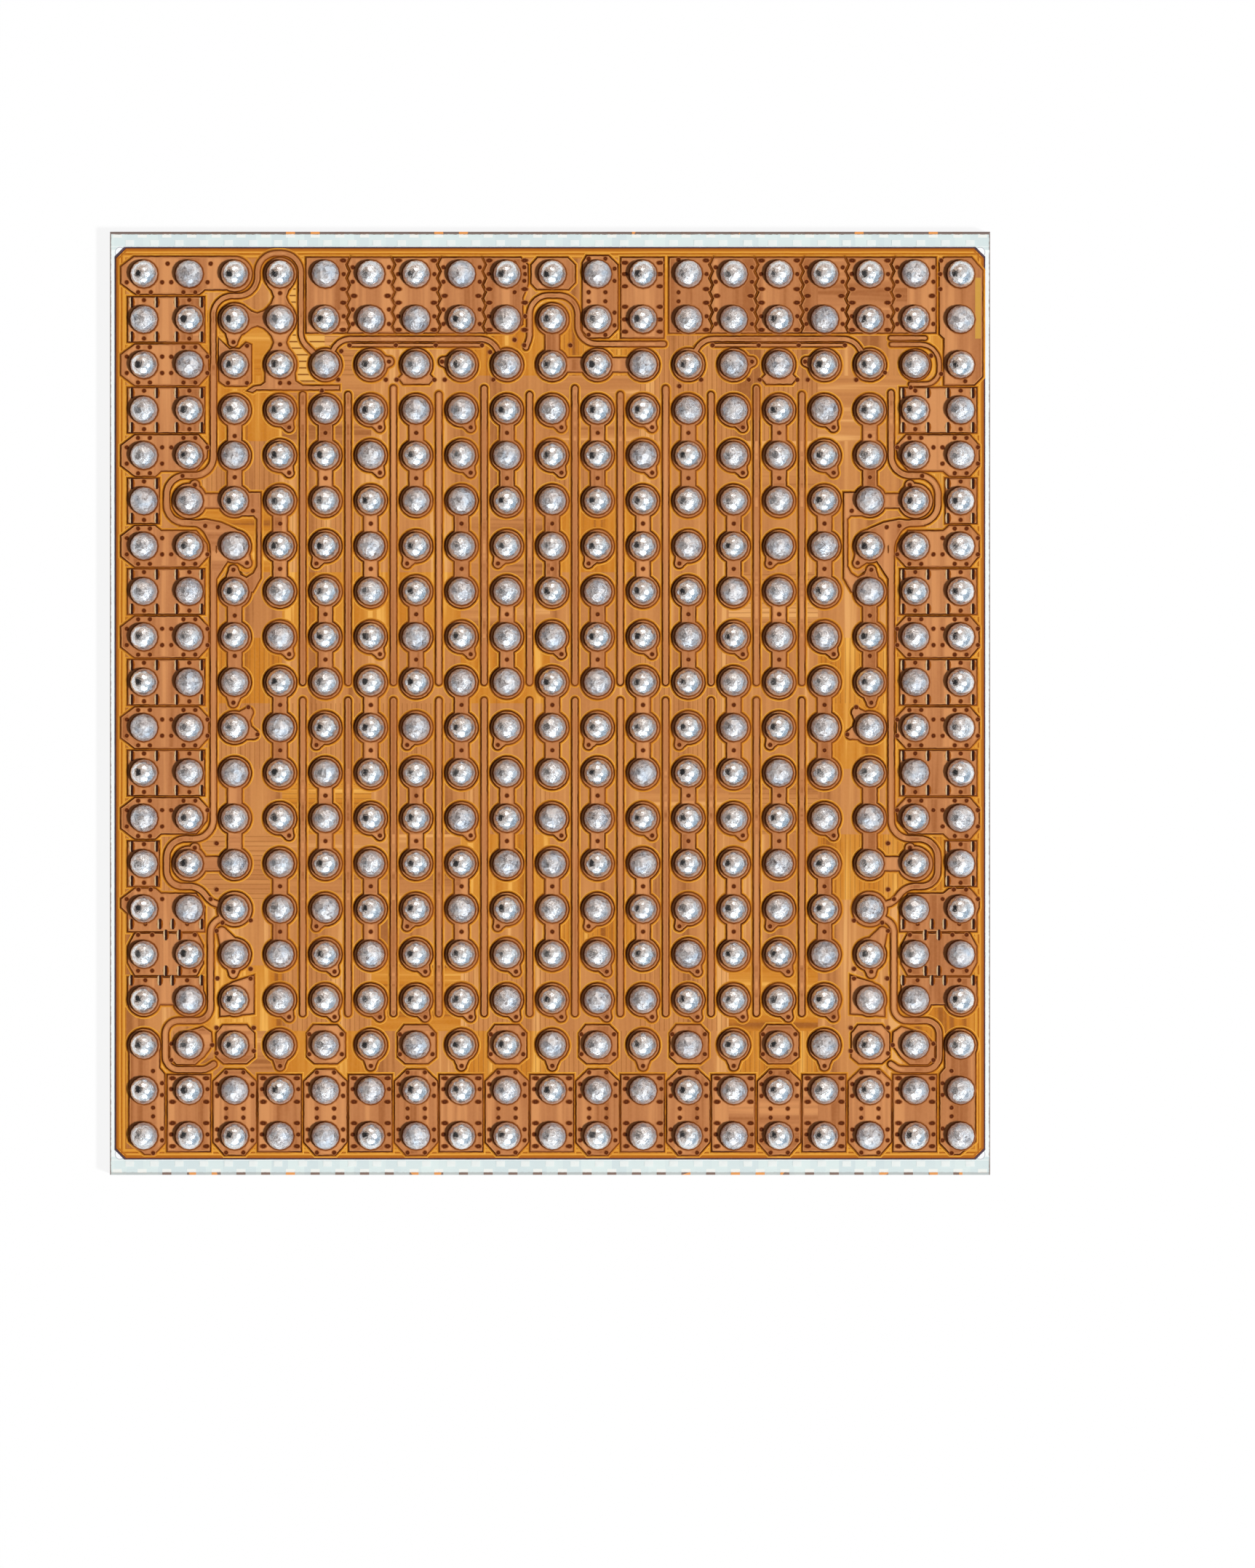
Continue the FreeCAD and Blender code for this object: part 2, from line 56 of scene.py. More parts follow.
# The ball grid, as on the solid model
COLUMNS = 19
ROW_LETTERS = "ABCDEFGHJKLMNPRTUVWY"
COPPER_NODES = ("copper_left", "copper_top", "copper_centre", "copper_bottom",
                "copper_right", "copper_traces")

# Places on the solid model
BODY_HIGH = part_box("silicon_die")[1]
COVER_LOW, COVER_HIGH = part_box("cover_dielectric")
FIRST_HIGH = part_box("first_dielectric")[1]
BALL_LOW, BALL_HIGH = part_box("solder_balls_row_A")
FILM_CHAMFER = 0.085 * MM

# How far above a solid's face a thin surface ends
HAIR = 0.0001 * MM

# The squares in the saw street at the chip's ends, in millimetres
SQUARE_STEP = 0.218
SQUARE_HALF = 0.04
SQUARE_PHASE = -(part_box("street_tabs")[0].x / MM + SQUARE_HALF)

# The photo's pixels for a millimetre, its width in pixels, and how many of them the chip's
# middle lies right of and above the picture's middle
PHOTO_SCALE = 155.9
PHOTO_WIDTH = 1725
CHIP_IN_PHOTO = (-106.5, 111.0)


# Everything a user would change

def length(name, text, value):
    """A length property, its default given in millimetres."""
    return bpy.props.FloatProperty(
        name=name, description=text, default=value * MM, min=0.001 * MM, precision=6,
        subtype="DISTANCE", unit="LENGTH")


def colour(name, text, value):
    """A colour property with three channels."""
    return bpy.props.FloatVectorProperty(
        name=name, description=text, default=value, size=3, min=0.0, max=1.0, subtype="COLOR")


class ChipSizes(bpy.types.PropertyGroup):
    """Sizes of the fine forms that lie on the solid model."""
    pitch: length("Ball pitch", "Step from one ball to the next", 0.4)
    ball_radius: length("Ball radius", "Radius of a solder ball at its widest", 0.1225)
    relief: length("Film relief", "How far the film stands up over the copper", 0.006)
    slope_inside: length(
        "Slope inside", "How far a film slope starts inside the copper's edge", 0.012)
    slope_outside: length(
        "Slope outside", "How far a film slope runs out past the copper's edge", 0.026)
    via_radius: length("Via dimple radius", "Radius of the dimple over a via", 0.025)
    slot_half_length: length(
        "Via slot half length", "Half the length of a long via's dimple", 0.05)
    slot_half_width: length("Via slot half width", "Half the width of a long via's dimple", 0.029)
    collar_reach: length("Collar radius", "Outer radius of the film's lip round a ball", 0.138)


class ChipColours(bpy.types.PropertyGroup):
    """Colours of the finishes."""
    film_bare: colour("Film off the copper", "Amber film with only the die below it",
                      (0.56, 0.2, 0.02))
    film_copper: colour("Film over copper", "Amber film with copper below it",
                        (0.49, 0.195, 0.072))
    # A painted shade line where the film bends over a copper edge
    film_slope_painted_shade: colour("Film slope", "The film where it bends over a copper edge",
                       (0.085, 0.018, 0.003))
    film_rim: colour("Film rim", "The cut edge of the first film", (0.055, 0.03, 0.045))
    copper: colour("Copper", "Plated copper", (0.66, 0.3, 0.13))
    solder: colour("Solder", "Reflowed solder", (0.72, 0.7, 0.71))
    street: colour("Saw street", "Die surface beside the film", (0.72, 0.83, 0.84))
    street_metal: colour("Street metal", "Metal squares in the saw street", (0.84, 0.89, 0.87))
    silicon: colour("Silicon side", "Sawn side of the die", (0.2, 0.2, 0.22))
    coating: colour("Black film", "Film on the marked face", (0.012, 0.009, 0.012))


def settings():
    """The sizes set in the panel."""
    return bpy.context.scene.chip_sizes


def colours():
    """The colours set in the panel."""
    return bpy.context.scene.chip_colours


def place(spots):
    """Columns and rows turned to x and y: x grows with the column, y falls with the row."""
    step = settings().pitch
    column_1 = BALL_LOW.x + settings().ball_radius
    row_1 = 0.5 * (BALL_LOW.y + BALL_HIGH.y)
    spots = np.asarray(spots, float).reshape(-1, 2)
    return np.column_stack([column_1 + (spots[:, 0] - 1) * step, row_1 - (spots[:, 1] - 1) * step])


# Meshes

def new_piece(name, points, faces, uv, material):
    """A mesh object from arrays of points, faces and one UV pair for each point."""
    mesh = bpy.data.meshes.new(name)
    mesh.from_pydata(points.reshape(-1, 3), [], faces)
    mesh.polygons.foreach_set("use_smooth", np.full(len(mesh.polygons), True))
    layer = mesh.uv_layers.new(name="across")
    corner_points = np.zeros(len(mesh.loops), np.int32)
    mesh.loops.foreach_get("vertex_index", corner_points)
    uv = uv.astype(np.float32).reshape(-1, 2)
    layer.data.foreach_set("uv", uv[corner_points].ravel())
    mesh.materials.append(material)
    mesh.update()
    piece = bpy.data.objects.new(name, mesh)
    bpy.context.scene.collection.objects.link(piece)
    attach(piece, "root")
    return piece


def outline_of(node):
    """Points and directed sides of the outlines of a flat group's top faces.

    Equal points of the solid model's top triangles are merged, and a side that only one
    triangle has lies on an outline, with the copper on its left.
    """
    merge_step = 2e-8
    level_step = 1e-7
    least_area = 1e-16
    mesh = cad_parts[node].data
    points = np.zeros(len(mesh.vertices) * 3, np.float32)
    mesh.vertices.foreach_get("co", points)
    points = points.reshape(-1, 3)
    mesh.calc_loop_triangles()
    corners = np.zeros(len(mesh.loop_triangles) * 3, np.int32)
    mesh.loop_triangles.foreach_get("vertices", corners)
    corners = corners.reshape(-1, 3)
    top = points[:, 2].max()
    corners = corners[(np.abs(points[corners, 2] - top) < level_step).all(axis=1)]
    steps = np.round(points[:, :2] / merge_step).astype(np.int64)
    unique, merged = np.unique(steps, axis=0, return_inverse=True)
    corners = merged.reshape(-1)[corners]
    places = unique * merge_step
    a, b, c = (places[corners[:, i]] for i in range(3))
    twice = (b[:, 0] - a[:, 0]) * (c[:, 1] - a[:, 1]) - (b[:, 1] - a[:, 1]) * (c[:, 0] - a[:, 0])
    held = np.abs(twice) > least_area
    corners = corners[held]
    turned = twice[held] < 0
    corners[turned] = corners[turned][:, ::-1]
    sides = np.concatenate([corners[:, [0, 1]], corners[:, [1, 2]], corners[:, [2, 0]]])
    keys = sides.min(axis=1) * len(places) + sides.max(axis=1)
    _, first, count = np.unique(keys, return_index=True, return_counts=True)
    sides = sides[first[count == 1]]
    used, renamed = np.unique(sides, return_inverse=True)
    return places[used], renamed.reshape(-1, 2)


def outward(points, sides):
    """For each outline point the direction in which both of its sides shift outwards.

    It is twice the sum of both sides' outward normals divided by that sum's squared
    length, so that each side moves by one, and it is kept under two.
    """
    along = points[sides[:, 1]] - points[sides[:, 0]]
    along /= np.maximum(np.linalg.norm(along, axis=1, keepdims=True), 1e-12)
    normal = np.column_stack([along[:, 1], -along[:, 0]])
    total = np.zeros_like(points)
    np.add.at(total, sides[:, 0], normal)
    np.add.at(total, sides[:, 1], normal)
    size = np.maximum((total ** 2).sum(axis=1, keepdims=True), 1.0)
    return total * 2.0 / size


def slope_strip(name, points, sides, reach, heights, material):
    """A narrow strip carried along outlines.

    At each outline point, step k of the profile lies reach[k] outwards of the outline at
    heights[k]. The UV's first number runs 0 to 1 across it.
    """
    shift = outward(points, sides)
    count = len(points)
    rings = [np.column_stack([points + shift * out, np.full(count, height)])
             for out, height in zip(reach, heights)]
    starts, ends = sides.T
    quads = [np.column_stack([starts, starts + count, ends + count, ends]) + k * count
             for k in range(len(reach) - 1)]
    uv = np.zeros((len(reach) * count, 2))
    uv[:, 0] = np.repeat((reach - reach[0]) / (reach[-1] - reach[0]), count)
    return new_piece(name, np.vstack(rings), np.vstack(quads).tolist(), uv, material)


def octagon_outline(low, high, cut):
    """A rectangle with cut corners, as outline points with the inside on the left."""
    x0, y0, x1, y1 = low.x, low.y, high.x, high.y
    points = np.array([(x0 + cut, y0), (x1 - cut, y0), (x1, y0 + cut), (x1, y1 - cut),
                       (x1 - cut, y1), (x0 + cut, y1), (x0, y1 - cut), (x0, y0 + cut)])
    index = np.arange(8)
    return points, np.column_stack([index, (index + 1) % 8])


def turned_forms(centres, radii, heights, sides, wide=1.0, cap=None):
    """Points and faces of copies of one form, made of rings from the inside out.

    At angle t, ring k of a copy lies at its centre plus wide radii[k] (cos t, sin t), at
    heights[k]. A cap is a point amid the first ring, at the height given.
    """
    count, rings = len(centres), len(radii)
    angle = np.arange(sides) * 2 * np.pi / sides
    circle = np.column_stack([np.cos(angle), np.sin(angle)])
    reach = radii[:, None, None] * circle[None]
    wide = np.broadcast_to(wide, (count, 2))
    flat = centres[:, None, None, :] + wide[:, None, None, :] * reach[None]
    height = np.broadcast_to(heights[None, :, None, None], (count, rings, sides, 1))
    points = np.concatenate([flat, height], axis=3).reshape(count, -1, 3)
    if cap is not None:
        middle = np.column_stack([centres, np.full(count, cap)])
        points = np.concatenate([points, middle[:, None, :]], axis=1)
    i = np.arange(sides)
    j = (i + 1) % sides
    ring = np.arange(rings - 1)[:, None] * sides
    quads = np.stack([ring + i, ring + sides + i, ring + sides + j, ring + j], axis=2)
    base = np.arange(count)[:, None, None] * points.shape[1]
    faces = (base + quads.reshape(-1, 4)).reshape(-1, 4).tolist()
    if cap is not None:
        fan = np.column_stack([np.full(sides, rings * sides), i, j])
        faces += (base + fan).reshape(-1, 3).tolist()
    return points, faces


def dimples(name, centres, size, material):
    """Oval dimples in the film over vias, of given half sizes, with a rim and a sunk middle.

    The UV is (s, 2 + s cos t) on an upright dimple and (s, 0) on the others, where s is
    the ring's share of the size. Its second number places the painted highlight and shade
    across an upright slot.
    """
    sides = 10
    share = np.array([0.48, 0.8, 1.0])
    heights = COVER_HIGH.z + np.array([0.0012, 0.003, 0.0001]) * MM
    points, faces = turned_forms(centres, share, heights, sides, size, COVER_HIGH.z + 0.0004 * MM)
    uv = np.empty(points.shape[:2] + (2,))
    uv[:, :, 0] = np.append(np.repeat(share, sides), 0.0)
    east = (points[:, :, 0] - centres[:, :1]) / size[:, :1]
    uv[:, :, 1] = (size[:, 1:] > size[:, :1]) * (2.0 + east)
    return new_piece(name, points, faces, uv, material)


# Where the vias are, in columns and rows of the ball grid

def grid(columns, rows):
    """Every place with one of the columns and one of the rows."""
    return [(u, v) for u in columns for v in rows]


def beside(column, reach, rows):
    """Places at both sides of a column."""
    return grid((column - reach, column + reach), rows)


def pair_vias(row):
    """Vias of the copper that joins balls 1 and 2 of a row: dots, then upright slots."""
    if row % 2:
        dots = grid((0.62, 1.4, 1.6, 2.4), (row - 0.18, row + 0.18))
        dots += grid((0.87, 1.13, 1.87, 2.13), (row - 0.39, row + 0.39))
        if row in (5, 13):
            dots = [d for d in dots if d[0] < 1.5 or d[1] < row]
        if row == 7:
            dots = [d for d in dots if d[0] < 1.5 or d[1] > row]
        return dots, []
    joined = (1,) if row in (6, 14) else (1, 2)
    slots = grid((0.73, 1.28, 1.72, 2.27)[:2 * len(joined)], (row - 0.38, row + 0.38))
    return grid(joined, (row - 0.43, row + 0.42)), slots


def all_pair_vias(rows):
    """The vias of several rows' pairs: dots, then upright slots."""
    found = [pair_vias(row) for row in rows]
    return [d for dots, _ in found for d in dots], [s for _, slots in found for s in slots]


def side_vias():
    """Vias of columns 1 to 3 from row 4 down: dots, then upright slots."""
    dots, slots = all_pair_vias(range(4, 15))
    dots += [(1.85, 5.45), (2.12, 5.65), (2.35, 6.55), (2.63, 6.58), (3.0, 4.57), (3.0, 5.48),
             (3.4, 6.22), (3.27, 7.37), (2.97, 7.52), (3.0, 8.53), (3.0, 9.42), (2.97, 10.45),
             (3.3, 10.55), (3.5, 11.15), (2.6, 13.55), (2.6, 14.57), (2.47, 14.78),
             (2.12, 13.65), (0.62, 14.78), (1.4, 14.78), (0.88, 14.57), (1.15, 14.57)]
    dots += grid((1.03, 1.95), (15.33, 16.57)) + grid((0.87, 1.18, 2.12), (15.57, 16.36))
    slots += grid((0.72, 1.35, 1.63, 2.27), (15.33, 16.57)) + grid((1.48, 1.78), (15.57, 16.36))
    dots += [(2.73, 15.3), (3.35, 15.25), (2.6, 15.48), (2.97, 16.38), (2.62, 16.53),
             (3.35, 16.32), (3.35, 16.53), (2.6, 17.62), (3.42, 17.62), (2.6, 18.18),
             (3.42, 18.13), (1.6, 17.97), (1.6, 18.33), (2.5, 18.0)]
    dots += grid((1.2,), (18.57, 19.38, 19.57, 20.38)) + grid((1.4,), (18.84, 19.1, 19.84, 20.1))
    return dots, slots


def top_vias():
    """Vias of the first three rows: dots, upright slots and lying slots."""
    dots, slots = all_pair_vias((2, 3))
    level = []
    dots += grid((1.52, 2.47), (0.77,)) + grid((0.62, 1.4, 1.6, 2.4), (1.18,))
    dots += grid((0.87, 1.15, 1.87, 2.13), (1.4,))
    dots += [(4.0, 1.42), (4.0, 2.55), (4.0, 3.4), (4.2, 3.4), (2.97, 2.5), (3.27, 2.58),
             (2.85, 3.4), (3.27, 3.4), (5.35, 2.7), (8.63, 2.72), (4.92, 3.57), (9.17, 0.75),
             (9.38, 0.85), (9.38, 1.15), (9.17, 1.4), (9.17, 2.45), (9.38, 2.57), (10.4, 2.57),
             (12.8, 3.47), (18.57, 0.7), (18.55, 1.0), (18.55, 1.33), (17.33, 3.17),
             (18.35, 2.8), (17.9, 3.5), (18.57, 3.2), (19.1, 3.36)]
    for first in (5, 13):
        for row, steps in ((2.57, (0.53, 1.55, 2.43, 3.45)), (2.93, (1.4, 2.57)),
                           (3.33, (0.28, 1.33, 1.57, 2.4, 2.63, 3.7))):
            dots += [(first + step, row) for step in steps]
    for column in (5, 7, 9, 13, 15, 17):
        for side in (1,) if column in (5, 13) else (1, -1):
            dots += grid((column + 0.4 * side,), (1.0, 1.93))
            level += grid((column + 0.39 * side,), (0.7, 1.33, 1.63, 2.23))
    for column in (6, 8, 14, 16, 18):
        dots += beside(column, 0.4, (0.85, 1.17, 1.78, 2.1))
        level += beside(column, 0.372, (1.48,))
    dots += grid((10.8, 11.17), (0.66, 1.4, 1.6, 2.34)) + grid((12.78,), (0.68, 1.4, 1.6, 2.24))
    dots += grid((10.74, 11.37), (0.88, 1.15, 1.85, 2.13))
    level += grid((11.6, 12.37), (0.75, 1.0, 1.27, 1.72, 2.0, 2.27))
    return dots, slots, level


def bottom_vias():
    """Vias of the last three rows: dots, then lying slots."""
    dots, level = [], []
    for column in range(3, 19, 2):
        dots += beside(column, 0.19, (18.6, 19.4, 19.6, 20.37))
        dots += beside(column, 0.39, (18.86, 19.12, 19.86, 20.1))
    for column in range(2, 19, 2):
        dots += beside(column, 0.4, (18.97, 19.97))
        level += beside(column, 0.37, (18.73, 19.25, 19.72, 20.23))
    for column in range(5, 16, 2):
        dots += beside(column, 0.36, (17.76, 18.2))
    return dots + grid(range(4, 17, 2), (18.46,)), level


def centre_vias():
    """Vias of the single lands and of the chains of three in the middle of the chip."""
    dots = []
    for column in range(4, 17):
        first_chain = 4 if column % 2 else 6
        row = 4
        while row <= 17:
            if row >= first_chain and (row - first_chain) % 4 == 0 and row <= 15:
                dots += [(column, row + 0.5), (column, row + 1.5)]
                row += 3
            else:
                lean = 0.2 if row % 4 < 2 else -0.2
                dots.append((column + lean, row + 0.38))
                row += 1
    return dots


# Shader building blocks

def fill(socket, value):
    """Sets a socket's own value; a colour is given as three numbers."""
    socket.default_value = (*value, 1.0) if socket.type == "RGBA" else value


def add(tree, kind, values=None, **options):
    """Adds a shader node, sets its options and inputs, and returns its outputs."""
    node = tree.nodes.new("ShaderNode" + kind)
    for key, value in options.items():
        setattr(node, key, value)
    for key, value in (values or {}).items():
        socket = node.inputs[key]
        if isinstance(value, bpy.types.NodeSocket):
            tree.links.new(value, socket)
        else:
            fill(socket, value)
    return node.outputs


def maths(tree, operation, *values):
    """A Math node's result."""
    return add(tree, "Math", dict(enumerate(values)), operation=operation)[0]


def times(tree, first, second):
    """Two values multiplied."""
    return maths(tree, "MULTIPLY", first, second)


def scaled(tree, value, factor, shift):
    """A value times a factor, plus a shift."""
    return maths(tree, "MULTIPLY_ADD", value, factor, shift)


def inside(tree, value, low, high):
    """1 where a value lies between low and high."""
    return times(tree, maths(tree, "GREATER_THAN", value, low),
                 maths(tree, "LESS_THAN", value, high))


def spread(tree, value, low, high):
    """A value mapped from low..high to 0..1 and held there."""
    return add(tree, "MapRange", {"Value": value, "From Min": low, "From Max": high})["Result"]


def lit(value, factor):
    """A colour made brighter or darker by a factor."""
    return [channel * factor for channel in value]


def mix(tree, factor, first, second, blend="MIX"):
    """Two colours mixed; sockets 0, 6 and 7 are the factor and the two colours."""
    return add(tree, "Mix", {0: factor, 6: first, 7: second}, data_type="RGBA",
               blend_type=blend)[2]


def choose(tree, factor, first, second):
    """Two numbers mixed; sockets 0, 2 and 3 are the factor and the two numbers."""
    return add(tree, "Mix", {0: factor, 2: first, 3: second}, data_type="FLOAT")[0]


def ramp(tree, factor, stops, smooth=True):
    """A colour ramp's colour."""
    made = add(tree, "ValToRGB", {"Fac": factor})["Color"]
    band = made.node.color_ramp
    band.interpolation = "EASE" if smooth else "LINEAR"
    while len(band.elements) < len(stops):
        band.elements.new(0.5)
    for element, (position, value) in zip(band.elements, stops):
        element.position = position
        element.color = (*value, 1.0)
    return made


def vectors(tree, operation, *values):
    """A Vector Math node's vector."""
    return add(tree, "VectorMath", dict(enumerate(values)), operation=operation)["Vector"]


def split(tree, vector):
    """A vector's three numbers."""
    return add(tree, "SeparateXYZ", {"Vector": vector})


def channels(tree, made):
    """The three channels of the colour among a node's outputs."""
    return add(tree, "SeparateColor", {"Color": made["Color"]})


def object_place(tree):
    """Object coordinates in millimetres, so that pattern scales are per millimetre."""
    source = add(tree, "TexCoord")["Object"]
    return vectors(tree, "MULTIPLY", source, (1.0 / MM,) * 3)


def from_sides(tree, parts, high):
    """Distances inwards from the nearer side and the nearer end of a box centred on the axes."""
    return [maths(tree, "SUBTRACT", reach / MM, maths(tree, "ABSOLUTE", parts[axis]))
            for reach, axis in ((high.x, "X"), (high.y, "Y"))]


def across_uv(tree):
    """The two numbers of the piece's own UV map."""
    return split(tree, add(tree, "UVMap", uv_map="across")["UV"])


def noise(tree, vector, scale, detail=2.0, roughness=0.5):
    """A noise value."""
    return add(tree, "TexNoise", {"Vector": vector, "Scale": scale, "Detail": detail,
                                  "Roughness": roughness})["Fac"]


def stretched(tree, vector, scale):
    """A vector scaled differently along X, Y and Z."""
    return add(tree, "Mapping", {"Vector": vector, "Scale": scale})["Vector"]


def bumped(tree, height, strength, distance):
    """A normal bent by a height; the distance is in millimetres."""
    return add(tree, "Bump", {"Height": height, "Strength": strength,
                              "Distance": distance * MM})["Normal"]


def wobble(tree, spot, scale, width):
    """Noise from half the width below 0 to half the width above it."""
    return scaled(tree, noise(tree, spot, scale), width, -0.5 * width)


def new_group(name, inputs, outputs):
    """An empty shader node group; its Vector and Normal sockets are vectors, others floats."""
    group = bpy.data.node_groups.new(name, "ShaderNodeTree")
    for way, labels in (("INPUT", inputs), ("OUTPUT", outputs)):
        for label in labels:
            kind = "Vector" if label in ("Vector", "Normal") else "Float"
            group.interface.new_socket(name=label, in_out=way, socket_type="NodeSocket" + kind)
    return group, group.nodes.new("NodeGroupInput").outputs, group.nodes.new("NodeGroupOutput")


def group_in(tree, name, values):
    """A built group placed in a material: its outputs."""
    return add(tree, "Group", values, node_tree=bpy.data.node_groups[name])


def new_material(name, **constants):
    """A material with a Principled shader, whose constants are set on its sockets, and its tree."""
    material = bpy.data.materials.new(name)
    material.use_nodes = True
    tree = material.node_tree
    tree.nodes.clear()
    out = tree.nodes.new("ShaderNodeOutputMaterial")
    shader = tree.nodes.new("ShaderNodeBsdfPrincipled")
    tree.links.new(shader.outputs["BSDF"], out.inputs["Surface"])
    for key, value in constants.items():
        fill(shader.inputs[key.replace("_", " ")], value)
    return material, tree


def wire(material, **links):
    """Values linked to the sockets of a material's shader; it returns the material."""
    tree = material.node_tree
    for key, value in links.items():
        tree.links.new(value, tree.nodes["Principled BSDF"].inputs[key.replace("_", " ")])
    return material


def build_die_lines():
    """Metal bands and fine lines of the die that show through the film.

    Noise stretched far one way gives long bands, and a saw-tooth of the place gives fine
    lines. Both run upright in most blocks of the die and lie in the others.
    """
    group, source, out = new_group("Die lines", ["Vector"], ["Bands", "Lines", "Block"])
    vector = source["Vector"]
    parts = split(group, vector)
    half_line_step = 0.021
    squeeze = 0.035
    bands = []
    lines = []
    for scale, axis in (((1.0, squeeze, 1.0), "X"), ((squeeze, 1.0, 1.0), "Y")):
        long_way = stretched(group, vector, scale)
        wide = noise(group, long_way, 5.5, 1.0)
        thin = noise(group, long_way, 26.0, 1.0)
        bands.append(scaled(group, thin, 0.35, times(group, wide, 0.65)))
        saw = maths(group, "PINGPONG", parts[axis], half_line_step)
        lines.append(spread(group, saw, 0.0065, 0.0025))
    block = vectors(group, "FLOOR", vectors(group, "MULTIPLY", vector, (1.27, 1.73, 0.0)))
    chance = channels(group, add(group, "TexWhiteNoise", {"Vector": block},
                                 noise_dimensions="3D"))
    lying = maths(group, "GREATER_THAN", chance[0], 0.8)
    lined = maths(group, "GREATER_THAN", chance[1], 0.7)
    line = choose(group, lying, lines[0], lines[1])
    group.links.new(choose(group, lying, bands[0], bands[1]), out.inputs["Bands"])
    group.links.new(chance[2], out.inputs["Block"])
    group.links.new(times(group, line, lined), out.inputs["Lines"])


def build_grain():
    """Soft unevenness: a noise value between 0 and 1, and a normal bent by it."""
    group, source, out = new_group("Soft grain", ["Vector", "Scale", "Depth"], ["Fac", "Normal"])
    value = noise(group, source["Vector"], source["Scale"], 4.0)
    group.links.new(value, out.inputs["Fac"])
    group.links.new(bumped(group, value, source["Depth"], 0.01), out.inputs["Normal"])


def soft_grain(tree, spot, scale, depth):
    """The grain group's noise value and bent normal."""
    made = group_in(tree, "Soft grain", {"Vector": spot, "Scale": scale, "Depth": depth})
    return made["Fac"], made["Normal"]


# Materials

FILM_GLOSS = {"IOR": 1.5, "Specular_IOR_Level": 0.08}


def film_material():
    """The second film: tan where it stands up over copper, golden where it doesn't."""
    material, tree = new_material("amber film", Roughness=0.36, IOR=1.5,
                                  Specular_IOR_Level=0.07)
    tint = colours()
    spot = object_place(tree)
    parts = split(tree, spot)
    top = COVER_HIGH.z / MM
    over_copper = spread(tree, parts["Z"], top - 0.004, top - 0.001)
    die = group_in(tree, "Die lines", {"Vector": spot})
    grain, normal = soft_grain(tree, spot, 45.0, 0.12)
    golden = ramp(tree, die["Bands"], [
        (0.34, (0.33, 0.105, 0.018)), (0.45, tint.film_bare), (0.56, (0.63, 0.255, 0.035)),
        (0.66, (0.84, 0.43, 0.09))])
    tan = ramp(tree, die["Bands"], [
        (0.34, (0.35, 0.125, 0.036)), (0.45, (0.51, 0.205, 0.064)), (0.56, (0.58, 0.245, 0.075)),
        (0.66, (0.76, 0.38, 0.13))])
    bare = mix(tree, maths(tree, "GREATER_THAN", die["Block"], 0.3), golden, tan)
    bare = mix(tree, times(tree, die["Lines"], 0.45), bare, (0.27, 0.09, 0.018))
    comb = grid_box(tree, parts, (4.1, 3.38), (4.98, 0.52))
    bare = mix(tree, comb, bare, comb_stripes(tree, parts))
    bare = edge_band(tree, parts, bare)
    cover = ramp(tree, die["Bands"], [
        (0.34, (0.36, 0.125, 0.04)), (0.48, tint.film_copper), (0.64, (0.64, 0.28, 0.105))])
    whole = mix(tree, over_copper, bare, cover)
    strip = grid_box(tree, parts, (19.32, 2.42), (19.5, 1.08))
    whole = mix(tree, times(tree, strip, 0.9), whole, (0.62, 0.34, 0.06))
    speck = spread(tree, grain, 0.4, 0.75)
    whole = mix(tree, times(tree, speck, 0.1), whole, (0.74, 0.35, 0.13))
    return wire(material, Base_Color=whole, Normal=normal)


def grid_box(tree, parts, low_spot, high_spot):
    """1 in the rectangle between two places of the ball grid."""
    low, high = place([low_spot, high_spot]) / MM
    return times(tree, inside(tree, parts["X"], low[0], high[0]),
                 inside(tree, parts["Y"], low[1], high[1]))


def comb_stripes(tree, parts):
    """Lying stripes of a metal comb in the die, as seen between balls 4 and 5."""
    half_step = 0.029
    saw = maths(tree, "PINGPONG", parts["Y"], half_step)
    line = spread(tree, saw, 0.0095, 0.0035)
    return mix(tree, line, (0.8, 0.42, 0.1), (0.24, 0.075, 0.012))


def edge_band(tree, parts, under):
    """A bright band inside the film's rim, by the distance from the nearer side."""
    across, along = from_sides(tree, parts, COVER_HIGH)
    depth = maths(tree, "MINIMUM", across, along)
    held = spread(tree, depth, 0.095, 0.075)
    flat = add(tree, "CombineXYZ", {"X": across, "Y": along})[0]
    depth = maths(tree, "ADD", depth, wobble(tree, flat, 2.0, 0.01))
    band = ramp(tree, times(tree, depth, 11.0), [
        (0.1, (0.44, 0.13, 0.008)), (0.24, (0.54, 0.18, 0.012)), (0.34, (0.8, 0.38, 0.06)),
        (0.44, (0.52, 0.17, 0.012)), (0.52, (0.36, 0.1, 0.008)), (0.6, (0.64, 0.26, 0.028)),
        (0.76, (0.74, 0.34, 0.05)), (0.88, (0.46, 0.15, 0.012)), (1.0, (0.56, 0.2, 0.018))])
    return mix(tree, held, under, band)


